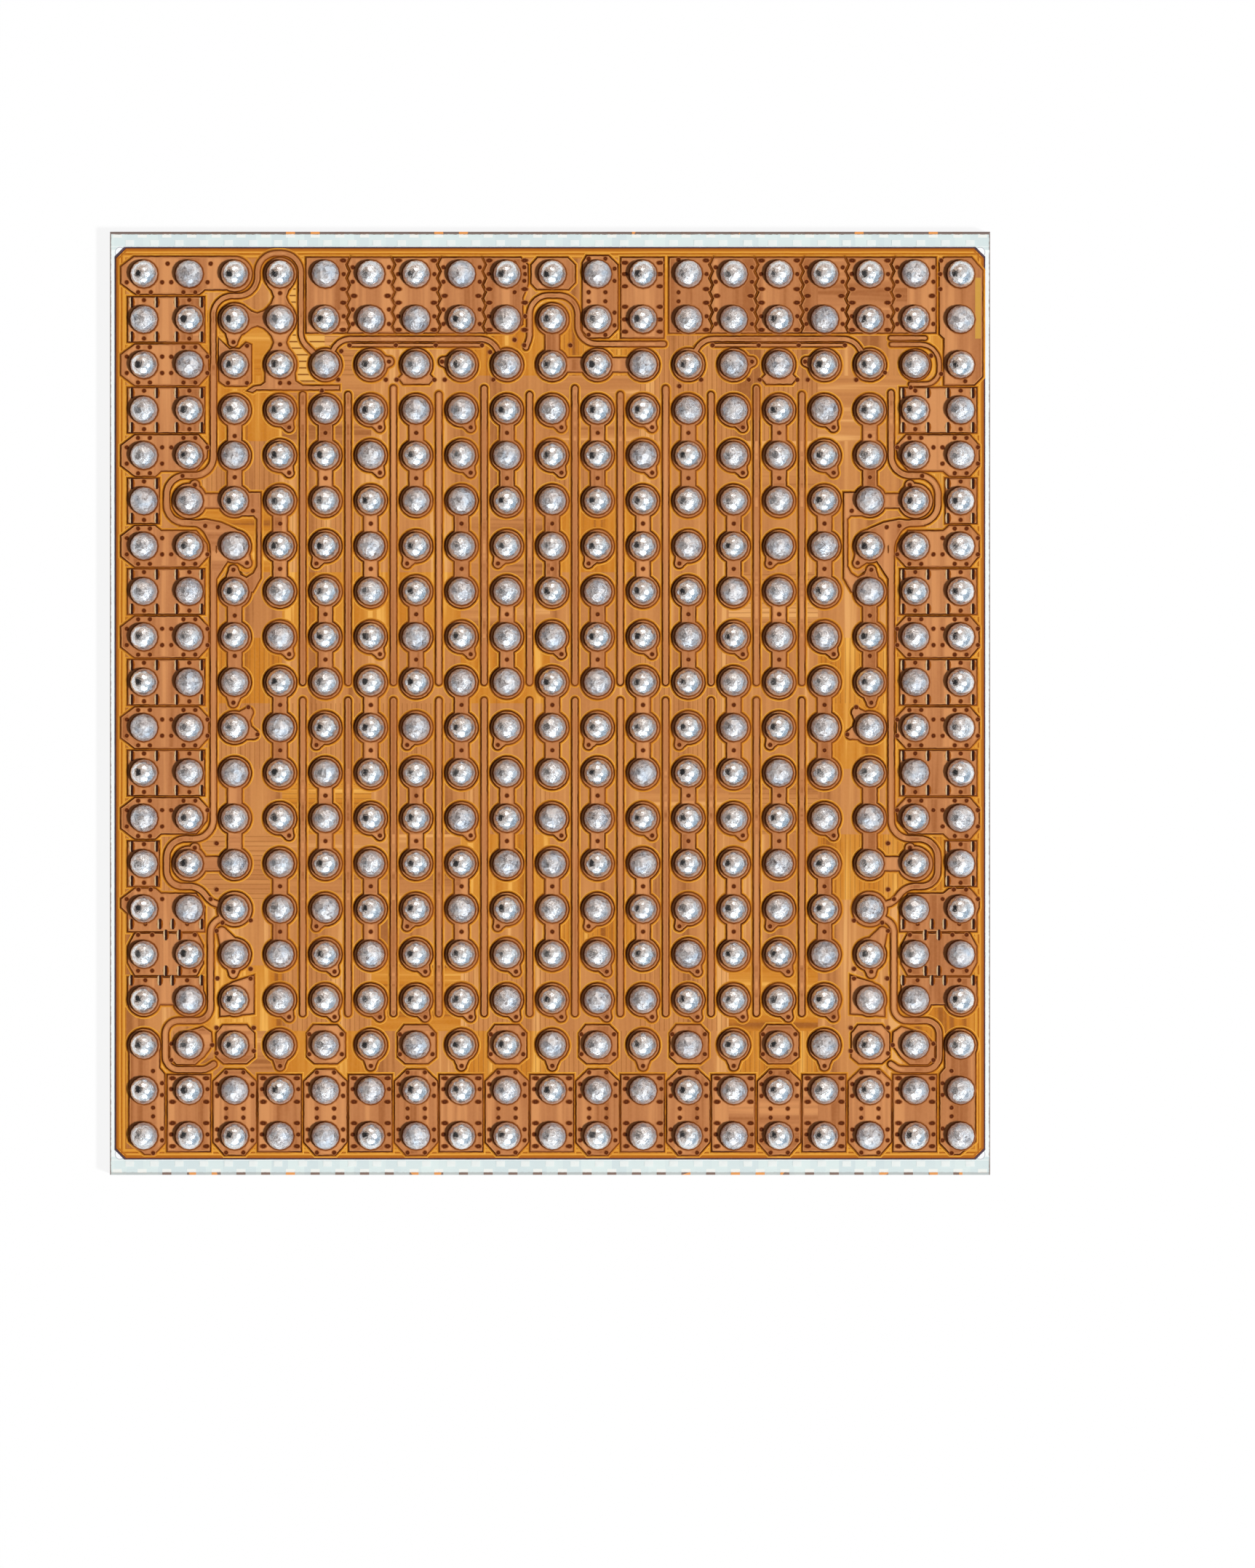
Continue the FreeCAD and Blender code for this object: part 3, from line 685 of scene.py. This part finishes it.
def slope_material():
    """Film bending over a copper edge: tan, then a painted dark red-brown shade line, then a painted
    orange highlight.
    """
    material, tree = new_material("film slope", Roughness=0.34, **FILM_GLOSS)
    across = across_uv(tree)["X"]
    spot = object_place(tree)
    turned = maths(tree, "ADD", across, wobble(tree, spot, 22.0, 0.22))
    # Painted shade and light across the slope: a dark red-brown line, then an orange highlight
    # outside it
    deep = ramp(tree, turned, [
        (0.0, (0.5, 0.2, 0.075)), (0.14, (0.62, 0.27, 0.09)), (0.32, colours().film_slope_painted_shade),
        (0.5, (0.11, 0.023, 0.003)), (0.68, (0.6, 0.21, 0.014)), (1.0, (0.82, 0.42, 0.065))])
    faint = ramp(tree, turned, [
        (0.0, (0.49, 0.195, 0.072)), (0.2, (0.5, 0.19, 0.06)), (0.38, (0.2, 0.05, 0.01)),
        (0.52, (0.26, 0.07, 0.01)), (0.7, (0.58, 0.2, 0.018)), (1.0, (0.68, 0.3, 0.04))])
    strong = spread(tree, noise(tree, spot, 3.2, 3.0), 0.42, 0.58)
    height = ramp(tree, across, [(0.2, (1, 1, 1)), (0.85, (0, 0, 0))])
    return wire(material, Base_Color=mix(tree, strong, faint, deep),
                Normal=bumped(tree, height, 0.9, 0.014))


def lip_material(name, roughness, scale, width, stops):
    """Film whose colour changes across the piece, with an edge that wanders a little."""
    material, tree = new_material(name, Roughness=roughness, **FILM_GLOSS)
    across = across_uv(tree)["X"]
    turned = maths(tree, "ADD", across, wobble(tree, object_place(tree), scale, width))
    return wire(material, Base_Color=ramp(tree, turned, stops))


def collar_material():
    """The film's lip round a ball: painted near-black shade beside the ball, tan at its foot."""
    # The dark stops are painted shade round the ball's base
    return lip_material("film collar", 0.34, 20.0, 0.3, [
        (0.0, (0.09, 0.018, 0.003)), (0.35, (0.12, 0.022, 0.003)), (0.6, (0.17, 0.036, 0.005)),
        (0.82, (0.34, 0.12, 0.032)), (1.0, (0.48, 0.19, 0.07))])


def rim_material():
    """The outer rim of the second film: golden, red-brown, then nearly black."""
    return lip_material("film rim slope", 0.3, 15.0, 0.12, [
        (0.0, (0.56, 0.21, 0.025)), (0.3, (0.45, 0.14, 0.015)), (0.55, (0.36, 0.1, 0.012)),
        (0.78, (0.2, 0.055, 0.02)), (1.0, (0.07, 0.04, 0.07))])


def first_film_material():
    """The first film, seen as a dark line round the second one."""
    material, tree = new_material("first film", Roughness=0.25, IOR=1.6)
    edge = colours().film_rim
    value = spread(tree, noise(tree, object_place(tree), 14.0, 3.0), 0.35, 0.7)
    return wire(material, Base_Color=mix(tree, value, lit(edge, 0.7), lit(edge, 1.8)))


def dimple_material():
    """A via's dimple: red-brown with painted shade in its middle, and an upright one is painted
    across with a light highlight, a black shade and orange.
    """
    material, tree = new_material("via dimple", Roughness=0.3, **FILM_GLOSS)
    wander = wobble(tree, object_place(tree), 40.0, 0.3)
    across = across_uv(tree)
    # A round dimple's dark middle is painted shade
    round_dimple_painted_shade = ramp(tree, maths(tree, "ADD", across["X"], wander), [
        (0.0, (0.16, 0.04, 0.01)), (0.35, (0.075, 0.015, 0.003)), (0.66, (0.14, 0.03, 0.006)),
        (0.9, (0.42, 0.15, 0.04)), (1.0, (0.5, 0.2, 0.08))])
    from_left = scaled(tree, across["Y"], 0.5, -0.5)
    # Painted light and shade across an upright slot: a light highlight on its left, a black shade,
    # then orange
    slot = ramp(tree, scaled(tree, wander, 0.4, from_left), [
        (0.0, (0.18, 0.05, 0.012)), (0.12, (0.5, 0.26, 0.1)), (0.28, (0.76, 0.57, 0.34)),
        (0.38, (0.035, 0.01, 0.006)), (0.64, (0.03, 0.008, 0.004)), (0.76, (0.22, 0.05, 0.005)),
        (0.9, (0.36, 0.1, 0.008)), (1.0, (0.3, 0.09, 0.02))])
    upright = maths(tree, "GREATER_THAN", across["Y"], 0.5)
    return wire(material, Base_Color=mix(tree, upright, round_dimple_painted_shade, slot))


def copper_material():
    """Plated copper, a fine grain in it."""
    material, tree = new_material("plated copper", Metallic=0.9)
    tint = colours().copper
    grain, normal = soft_grain(tree, object_place(tree), 120.0, 0.3)
    shades = mix(tree, grain, lit(tint, 0.75), lit(tint, 1.15))
    return wire(material, Base_Color=shades, Roughness=spread(tree, grain, -1.0, 2.2), Normal=normal)


def pad_material():
    """The plated pad under a ball."""
    material, tree = new_material("pad metal", Metallic=0.9, Roughness=0.4)
    grain, normal = soft_grain(tree, object_place(tree), 90.0, 0.3)
    shades = mix(tree, grain, (0.34, 0.2, 0.12), (0.6, 0.4, 0.26))
    return wire(material, Base_Color=shades, Normal=normal)


def solder_material():
    """Reflowed solder: crystals of unlike brightness, some balls smooth and some rough.

    The UV's first number says how rough a ball is. Near the pad a ball's colour is a painted
    reflection of the film there, brown, and its sides are less metallic than its top.
    """
    material, tree = new_material("solder", IOR=1.8)
    spot = object_place(tree)
    roughened = across_uv(tree)["X"]
    warp = add(tree, "TexNoise", {"Vector": spot, "Scale": 16.0})
    bent = vectors(tree, "MULTIPLY_ADD", warp["Color"], (0.06,) * 3, spot)
    cells = add(tree, "TexVoronoi", {"Vector": bent, "Scale": 24.0})
    fine = noise(tree, bent, 60.0, 4.0, 0.7)
    shade = scaled(tree, channels(tree, cells)[0], 0.3, fine)
    crystals = ramp(tree, shade, [
        (0.34, (0.16, 0.12, 0.11)), (0.48, (0.46, 0.43, 0.43)),
        (0.66, lit(colours().solder, 1.05)), (0.9, (0.93, 0.92, 0.92))], smooth=False)
    cool = spread(tree, noise(tree, spot, 9.0), 0.46, 0.66)
    bluish = mix(tree, 1.0, crystals, (0.8, 0.9, 1.0), "MULTIPLY")
    crystals = mix(tree, cool, crystals, bluish)
    smooth_shades = mix(tree, spread(tree, fine, 0.3, 0.6), (0.5, 0.46, 0.45), (0.93, 0.95, 0.97))
    shades = mix(tree, spread(tree, roughened, 0.2, 0.8), smooth_shades, crystals)
    middle = (BALL_HIGH.z - settings().ball_radius) / MM
    height_in = split(tree, spot)["Z"]
    foot = spread(tree, height_in, middle + 0.036, middle + 0.01)
    limb = spread(tree, height_in, middle + 0.09, middle + 0.04)
    # Painted reflection: the ball's foot is painted brown as a mirror image of the film
    shades = mix(tree, times(tree, foot, 0.85), shades, (0.28, 0.13, 0.07))
    metallic = scaled(tree, limb, -0.4, scaled(tree, roughened, -0.3, 0.98))
    rough = scaled(tree, roughened, 0.26, scaled(tree, fine, 0.1, 0.01))
    height = scaled(tree, cells["Distance"], 1.2, times(tree, fine, 0.7))
    return wire(material, Base_Color=shades, Metallic=metallic, Roughness=rough,
                Normal=bumped(tree, height, scaled(tree, roughened, 0.46, 0.27), 0.009))


def die_material():
    """Silicon: a pale blue-white saw street on top with metal squares, grey sawn sides."""
    material, tree = new_material("silicon", Roughness=0.32, IOR=1.6)
    tint = colours()
    spot = object_place(tree)
    parts = split(tree, spot)
    from_side, from_end = from_sides(tree, parts, BODY_HIGH)
    street_depth = 0.16
    at_end = maths(tree, "LESS_THAN", from_end, street_depth)
    run = choose(tree, at_end, parts["Y"], parts["X"])
    cells = add(tree, "TexVoronoi", {"W": run, "Scale": 7.0, "Randomness": 0.8},
                voronoi_dimensions="1D")
    patchy = mix(tree, channels(tree, cells)[0], lit(tint.street, 0.9), (0.74, 0.84, 0.82))
    plain = mix(tree, noise(tree, spot, 6.0), (0.84, 0.92, 0.92), (0.96, 0.97, 0.95))
    street = mix(tree, at_end, plain, patchy)
    step = maths(tree, "PINGPONG", maths(tree, "ADD", parts["X"], SQUARE_PHASE), 0.5 * SQUARE_STEP)
    squares = times(tree, maths(tree, "LESS_THAN", step, SQUARE_HALF),
                    inside(tree, from_end, 0.018, 0.052))
    street = mix(tree, squares, street, (0.86, 0.88, 0.84))
    seal_line = inside(tree, from_end, 0.128, 0.134)
    street = mix(tree, times(tree, seal_line, 0.6), street, (0.97, 0.98, 0.96))
    street = corner_patch(tree, from_side, from_end, street)
    ragged = times(tree, noise(tree, spot, 30.0), 0.012)
    end_line = maths(tree, "LESS_THAN", maths(tree, "ADD", from_end, ragged), 0.03)
    side_line = maths(tree, "LESS_THAN", maths(tree, "ADD", from_side, ragged), 0.015)
    upper_end = maths(tree, "GREATER_THAN", parts["Y"], 0.0)
    end_line = times(tree, end_line, scaled(tree, upper_end, 0.6, 0.4))
    rim = maths(tree, "MAXIMUM", end_line, side_line)
    street = mix(tree, times(tree, rim, 0.92), street, (0.15, 0.09, 0.07))
    streaks = noise(tree, stretched(tree, spot, (1.0, 1.0, 0.12)), 60.0, 3.0)
    sawn = mix(tree, streaks, lit(tint.silicon, 0.7), lit(tint.silicon, 1.3))
    top = BODY_HIGH.z / MM
    on_top = spread(tree, parts["Z"], top - 0.002, top - 0.0005)
    return wire(material, Base_Color=mix(tree, on_top, sawn, street))


def corner_patch(tree, from_side, from_end, under):
    """A white round patch with a thin grey line at each corner of the saw street."""
    inset = 0.03
    line_reach, patch_reach = 0.046, 0.04
    middle = (BODY_HIGH - COVER_HIGH) / MM
    flat = add(tree, "CombineXYZ", {"X": maths(tree, "SUBTRACT", from_side, middle.x + inset),
                                    "Y": maths(tree, "SUBTRACT", from_end, middle.y + inset)})[0]
    reach = add(tree, "VectorMath", {0: flat}, operation="LENGTH")["Value"]
    line = maths(tree, "LESS_THAN", reach, line_reach)
    patch = maths(tree, "LESS_THAN", reach, patch_reach)
    return mix(tree, patch, mix(tree, line, under, (0.48, 0.5, 0.54)), (0.95, 0.96, 0.96))


def street_metal_material():
    """Bright metal squares; the cut ones at the chip's edge are brown or orange."""
    material, tree = new_material("street metal", Metallic=0.1, Roughness=0.4)
    tint = colours().street_metal
    spot = object_place(tree)
    grain, normal = soft_grain(tree, spot, 30.0, 0.03)
    cells = add(tree, "TexVoronoi", {"Vector": spot, "Scale": 4.0})
    orange = maths(tree, "GREATER_THAN", channels(tree, cells)[0], 0.72)
    cut = mix(tree, orange, (0.22, 0.15, 0.12), (0.78, 0.33, 0.1))
    cut_width = 0.022
    from_end = from_sides(tree, split(tree, spot), BODY_HIGH)[1]
    at_edge = maths(tree, "LESS_THAN", from_end, cut_width)
    shades = mix(tree, at_edge, mix(tree, grain, lit(tint, 0.94), lit(tint, 1.03)), cut)
    return wire(material, Base_Color=shades, Normal=normal)


def coating_material():
    """Black film with a faint blotchy gloss; the pin-one mark is a lighter rough spot."""
    material, tree = new_material("black film", IOR=1.5)
    tint = colours().coating
    spot = object_place(tree)
    grain, normal = soft_grain(tree, spot, 24.0, 0.25)
    sunk = inside(tree, split(tree, spot)["Z"], 0.003, 0.008)
    fleck = spread(tree, noise(tree, spot, 38.0, 3.0), 0.45, 0.62)
    mark = mix(tree, fleck, (0.018, 0.016, 0.02), (0.16, 0.15, 0.16))
    shades = mix(tree, grain, lit(tint, 0.7), lit(tint, 1.5))
    return wire(material, Base_Color=mix(tree, sunk, shades, mark),
                Roughness=spread(tree, grain, -0.8, 1.6), Normal=normal)


# Operators, one for each piece or group of like pieces

class CHIP_OT_finish_solids(bpy.types.Operator):
    """Give every piece of the solid model but the solder ball rows its finish"""
    bl_idname = "chip.finish_solids"
    bl_label = "Finish the solids"

    def execute(self, context):
        build_grain()
        build_die_lines()
        self.cover(["backside_coating"], coating_material())
        self.cover(["silicon_die"], die_material())
        self.cover(["street_pads", "street_tabs"], street_metal_material())
        self.cover(["first_dielectric"], first_film_material())
        self.cover(["cover_dielectric"], film_material())
        self.cover(COPPER_NODES, copper_material())
        self.cover(["bump_pads"], pad_material())
        return {"FINISHED"}

    def cover(self, nodes, material):
        """Puts a material on every slot of the nodes."""
        for node in nodes:
            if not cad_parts[node].data.materials:
                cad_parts[node].data.materials.append(material)
            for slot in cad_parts[node].material_slots:
                slot.material = material


class CHIP_OT_add_slopes(bpy.types.Operator):
    """Add the film's slopes over the edges of each group of copper"""
    bl_idname = "chip.add_slopes"
    bl_label = "Add film slopes"

    def execute(self, context):
        sizes = settings()
        material = slope_material()
        relief, outside = sizes.relief, sizes.slope_outside
        reach = np.array([-sizes.slope_inside, 0.25 * outside, 0.6 * outside, outside])
        low = COVER_HIGH.z - relief
        heights = low + np.array([relief + HAIR, relief + 0.0006 * MM, 0.45 * relief, HAIR])
        for node in COPPER_NODES:
            points, sides = outline_of(node)
            slope_strip(node.replace("copper", "film_slopes"), points, sides, reach, heights,
                        material)
        return {"FINISHED"}


class CHIP_OT_add_rim(bpy.types.Operator):
    """Add the sloping rim of the second film"""
    bl_idname = "chip.add_rim"
    bl_label = "Add the film's rim"

    def execute(self, context):
        points, sides = octagon_outline(COVER_LOW, COVER_HIGH, FILM_CHAMFER)
        low = COVER_HIGH.z - settings().relief
        reach = np.array([-0.022, -0.008, 0.0025, 0.01]) * MM
        heights = np.array([low + HAIR, low + 0.0004 * MM, low - 0.003 * MM,
                            FIRST_HIGH.z + 2 * HAIR])
        slope_strip("film_rim", points, sides, reach, heights, rim_material())
        return {"FINISHED"}


class CHIP_OT_add_collars(bpy.types.Operator):
    """Add the film's lip round every ball"""
    bl_idname = "chip.add_collars"
    bl_label = "Add film collars"

    def execute(self, context):
        sides = 16
        centres = place(grid(range(1, COLUMNS + 1), range(1, len(ROW_LETTERS) + 1)))
        radii = settings().collar_reach - np.array([0.03, 0.018, 0.008, 0.0]) * MM
        heights = COVER_HIGH.z + np.array([0.0004, 0.003, 0.002, 0.0002]) * MM
        points, faces = turned_forms(centres, radii, heights, sides)
        uv = np.zeros(points.shape[:2] + (2,))
        uv[:, :, 0] = np.repeat((radii - radii[0]) / (radii[-1] - radii[0]), sides)
        new_piece("film_collars", points, faces, uv, collar_material())
        return {"FINISHED"}


class CHIP_OT_add_vias(bpy.types.Operator):
    """Add the dimples that the film has over the vias"""
    bl_idname = "chip.add_vias"
    bl_label = "Add via dimples"

    def execute(self, context):
        material = dimple_material()
        dots, slots = side_vias()
        self.add("vias_left", dots, slots, [], material)
        self.add("vias_right", self.mirrored(dots), self.mirrored(slots), [], material)
        self.add("vias_top", *top_vias(), material)
        dots, level = bottom_vias()
        self.add("vias_bottom", dots, [], level, material)
        self.add("vias_centre", centre_vias(), [], [], material)
        return {"FINISHED"}

    def mirrored(self, spots):
        """The same places on the chip's other side."""
        return [(COLUMNS + 1 - u, v) for u, v in spots]

    def add(self, name, dots, upright, level, material):
        """A group of round dimples, upright slots and lying slots, which are a little smaller."""
        sizes = settings()
        long, short = sizes.slot_half_length, sizes.slot_half_width
        half = np.array([(sizes.via_radius,) * 2] * len(dots) + [(short, long)] * len(upright)
                        + [(0.78 * long, 0.86 * short)] * len(level))
        dimples(name, place(dots + upright + level), half, material)


class CHIP_OT_add_balls(bpy.types.Operator):
    """Add the rows of solder balls"""
    bl_idname = "chip.add_balls"
    bl_label = "Add solder balls"

    def execute(self, context):
        material = solder_material()
        for row, letter in enumerate(ROW_LETTERS, 1):
            self.add_row(letter, row, material)
        return {"FINISHED"}

    def add_row(self, letter, row, material):
        """One row of balls.

        A ball's rings lie at tilt a from its top down to its pad, radius sin a out from its
        centre and radius cos a above it.
        """
        sides = 16
        radius = settings().ball_radius
        low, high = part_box("solder_balls_row_" + letter)
        middle = high.z - radius
        widest = math.acos(max(-1.0, (low.z - middle) / radius))
        tilt = np.array([0.42, 0.82, 1.2, 0.5 * math.pi, widest])
        numbers = np.arange(1, COLUMNS + 1)
        centres = place([(column, row) for column in numbers])
        points, faces = turned_forms(centres, radius * np.sin(tilt), middle + radius * np.cos(tilt),
                                     sides, cap=high.z)
        # How rough a ball is, from 0 to 1, with no order to the eye
        wave = 0.5 + 0.5 * np.sin(9.0 * np.sin((numbers - 1) * 2.4 + row * 4.1))
        uv = np.zeros(points.shape[:2] + (2,))
        uv[:, :, 0] = (wave ** 2.2)[:, None]
        piece = new_piece("solder_balls_" + letter, points, faces, uv, material)
        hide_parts("solder_balls_row_" + letter)


class CHIP_OT_add_stage(bpy.types.Operator):
    """Add the floor, lights and camera"""
    bl_idname = "chip.add_stage"
    bl_label = "Add the stage"
    signs = ((-1, -1), (1, -1), (1, 1), (-1, 1))

    def execute(self, context):
        self.add_floor()
        self.add_cards()
        self.add_world()
        self.add_lamp()
        self.add_camera()
        return {"FINISHED"}

    def flat_mesh(self, name, corners, material):
        """A flat four-sided stage piece."""
        mesh = bpy.data.meshes.new(name)
        mesh.from_pydata([tuple(c) for c in corners], [], [(0, 1, 2, 3)])
        mesh.materials.append(material)
        piece = bpy.data.objects.new(name, mesh)
        bpy.context.scene.collection.objects.link(piece)
        return piece

    def add_floor(self):
        """A white floor that the camera sees as mostly white, with the chip's shadow."""
        material, tree = new_material("white floor", Roughness=0.9)
        white = (1.0, 1.0, 1.0)
        value = noise(tree, object_place(tree), 0.3)
        wire(material, Base_Color=mix(tree, value, lit(white, 0.96), lit(white, 0.99)))
        glow = add(tree, "Emission", {"Color": white, "Strength": 1.0})
        path = add(tree, "LightPath")
        matt = tree.nodes["Principled BSDF"].outputs["BSDF"]
        blend = add(tree, "MixShader", {0: times(tree, path["Is Camera Ray"], 0.9), 1: matt,
                                        2: glow["Emission"]})
        tree.links.new(blend["Shader"], tree.nodes["Material Output"].inputs["Surface"])
        half = 0.25
        self.flat_mesh("floor", [(x * half, y * half, 0) for x, y in self.signs], material)

    def add_cards(self):
        """One dark card and three bright ones, which the balls mirror."""
        self.card("dark_card", (-0.8, 0.09, 0.6), 0.5, 0.52, (0.004, 0.002, 0.002), 0.0)
        self.card("right_card", (0.52, -0.16, 0.84), 0.2, 0.17, (1.0, 1.0, 1.0), 2.8)
        self.card("low_card", (0.02, -0.84, 0.54), 0.3, 0.22, (0.94, 0.98, 1.0), 3.0)
        self.card("high_card", (0.0, 0.74, 0.67), 0.2, 0.14, (1.0, 0.96, 0.92), 2.2)

    def card(self, name, aim, half_wide, half_high, tone, glow):
        """A card that faces the chip, of half sizes given as shares of its distance."""
        material = new_material(name, Roughness=0.9, Base_Color=tone, Emission_Color=tone,
                                Emission_Strength=glow)[0]
        far = 0.05
        centre = Vector(aim).normalized() * far
        side = centre.cross(Vector((0, 0, 1))).normalized() * far * half_wide
        up = side.cross(centre).normalized() * far * half_high
        corners = (centre + x * side + y * up for x, y in self.signs)
        piece = self.flat_mesh(name, corners, material)
        piece.visible_camera = False
        piece.visible_shadow = False
        piece.visible_diffuse = False

    def add_world(self):
        """White to the camera, faint as a light, and warm to cool from side to side in mirrors."""
        world = bpy.data.worlds.new("studio")
        bpy.context.scene.world = world
        world.use_nodes = True
        tree = world.node_tree
        tree.nodes.clear()
        fill = 0.17
        path = add(tree, "LightPath")
        mirrors = maths(tree, "MAXIMUM", path["Is Glossy Ray"], path["Is Transmission Ray"])
        seen = maths(tree, "MAXIMUM", path["Is Camera Ray"], mirrors)
        aim = split(tree, add(tree, "TexCoord")["Generated"])
        turn = scaled(tree, aim["X"], 0.36, scaled(tree, aim["Y"], -0.34, 0.5))
        mirrored = ramp(tree, turn, [
            (0.0, (0.58, 0.43, 0.33)), (0.3, (0.68, 0.57, 0.5)), (0.52, (0.74, 0.7, 0.67)),
            (0.72, (0.72, 0.8, 0.86)), (1.0, (0.38, 0.5, 0.62))])
        back = add(tree, "Background", {
            "Color": mix(tree, path["Is Glossy Ray"], (1.0, 1.0, 1.0), mirrored),
            "Strength": scaled(tree, seen, 1.0 - fill, fill)})
        out = tree.nodes.new("ShaderNodeOutputWorld")
        tree.links.new(back["Background"], out.inputs["Surface"])

    def add_lamp(self):
        """A soft sun from the right, a little below the picture's middle."""
        lamp = bpy.data.lights.new("key", "SUN")
        lamp.energy = 2.95
        lamp.angle = math.radians(5)
        key = bpy.data.objects.new("key", lamp)
        bpy.context.scene.collection.objects.link(key)
        key.visible_glossy = False
        key.rotation_euler = Vector((0.36, -0.14, 0.92)).to_track_quat("Z", "Y").to_euler()

    def add_camera(self):
        """A camera that looks straight down, set back so far that the view is nearly flat."""
        pixel = MM / PHOTO_SCALE
        distance = 0.15
        data = bpy.data.cameras.new("camera")
        camera = bpy.data.objects.new("camera", data)
        bpy.context.scene.collection.objects.link(camera)
        camera.location = (-CHIP_IN_PHOTO[0] * pixel, -CHIP_IN_PHOTO[1] * pixel,
                           COVER_HIGH.z + distance)
        data.sensor_fit = "HORIZONTAL"
        data.sensor_width = 36.0
        data.lens = data.sensor_width * distance / (PHOTO_WIDTH * pixel)
        data.clip_start = 0.001
        data.clip_end = 10.0
        bpy.context.scene.camera = camera


class CHIP_PT_panel(bpy.types.Panel):
    """Lists the steps and settings"""
    bl_idname = "CHIP_PT_panel"
    bl_label = "Ball grid chip"
    bl_space_type = "VIEW_3D"
    bl_region_type = "UI"
    bl_category = "Ball grid chip"

    def draw(self, context):
        for step in STEPS:
            self.layout.operator(step.bl_idname)
        for group in (context.scene.chip_sizes, context.scene.chip_colours):
            box = self.layout.box()
            for key in group.__annotations__:
                box.prop(group, key)


STEPS = (CHIP_OT_finish_solids, CHIP_OT_add_slopes, CHIP_OT_add_rim, CHIP_OT_add_collars,
         CHIP_OT_add_vias, CHIP_OT_add_balls, CHIP_OT_add_stage)
CLASSES = (ChipSizes, ChipColours) + STEPS + (CHIP_PT_panel,)


def register():
    for item in CLASSES:
        bpy.utils.register_class(item)
    bpy.types.Scene.chip_sizes = bpy.props.PointerProperty(type=ChipSizes)
    bpy.types.Scene.chip_colours = bpy.props.PointerProperty(type=ChipColours)


def unregister():
    del bpy.types.Scene.chip_colours
    del bpy.types.Scene.chip_sizes
    for item in reversed(CLASSES):
        bpy.utils.unregister_class(item)


def main():
    """Build everything in order."""
    register()
    bpy.context.scene.view_settings.view_transform = "Standard"
    bpy.ops.chip.finish_solids()
    bpy.ops.chip.add_slopes()
    bpy.ops.chip.add_rim()
    bpy.ops.chip.add_collars()
    bpy.ops.chip.add_vias()
    bpy.ops.chip.add_balls()
    bpy.ops.chip.add_stage()


if __name__ == "__main__":
    main()
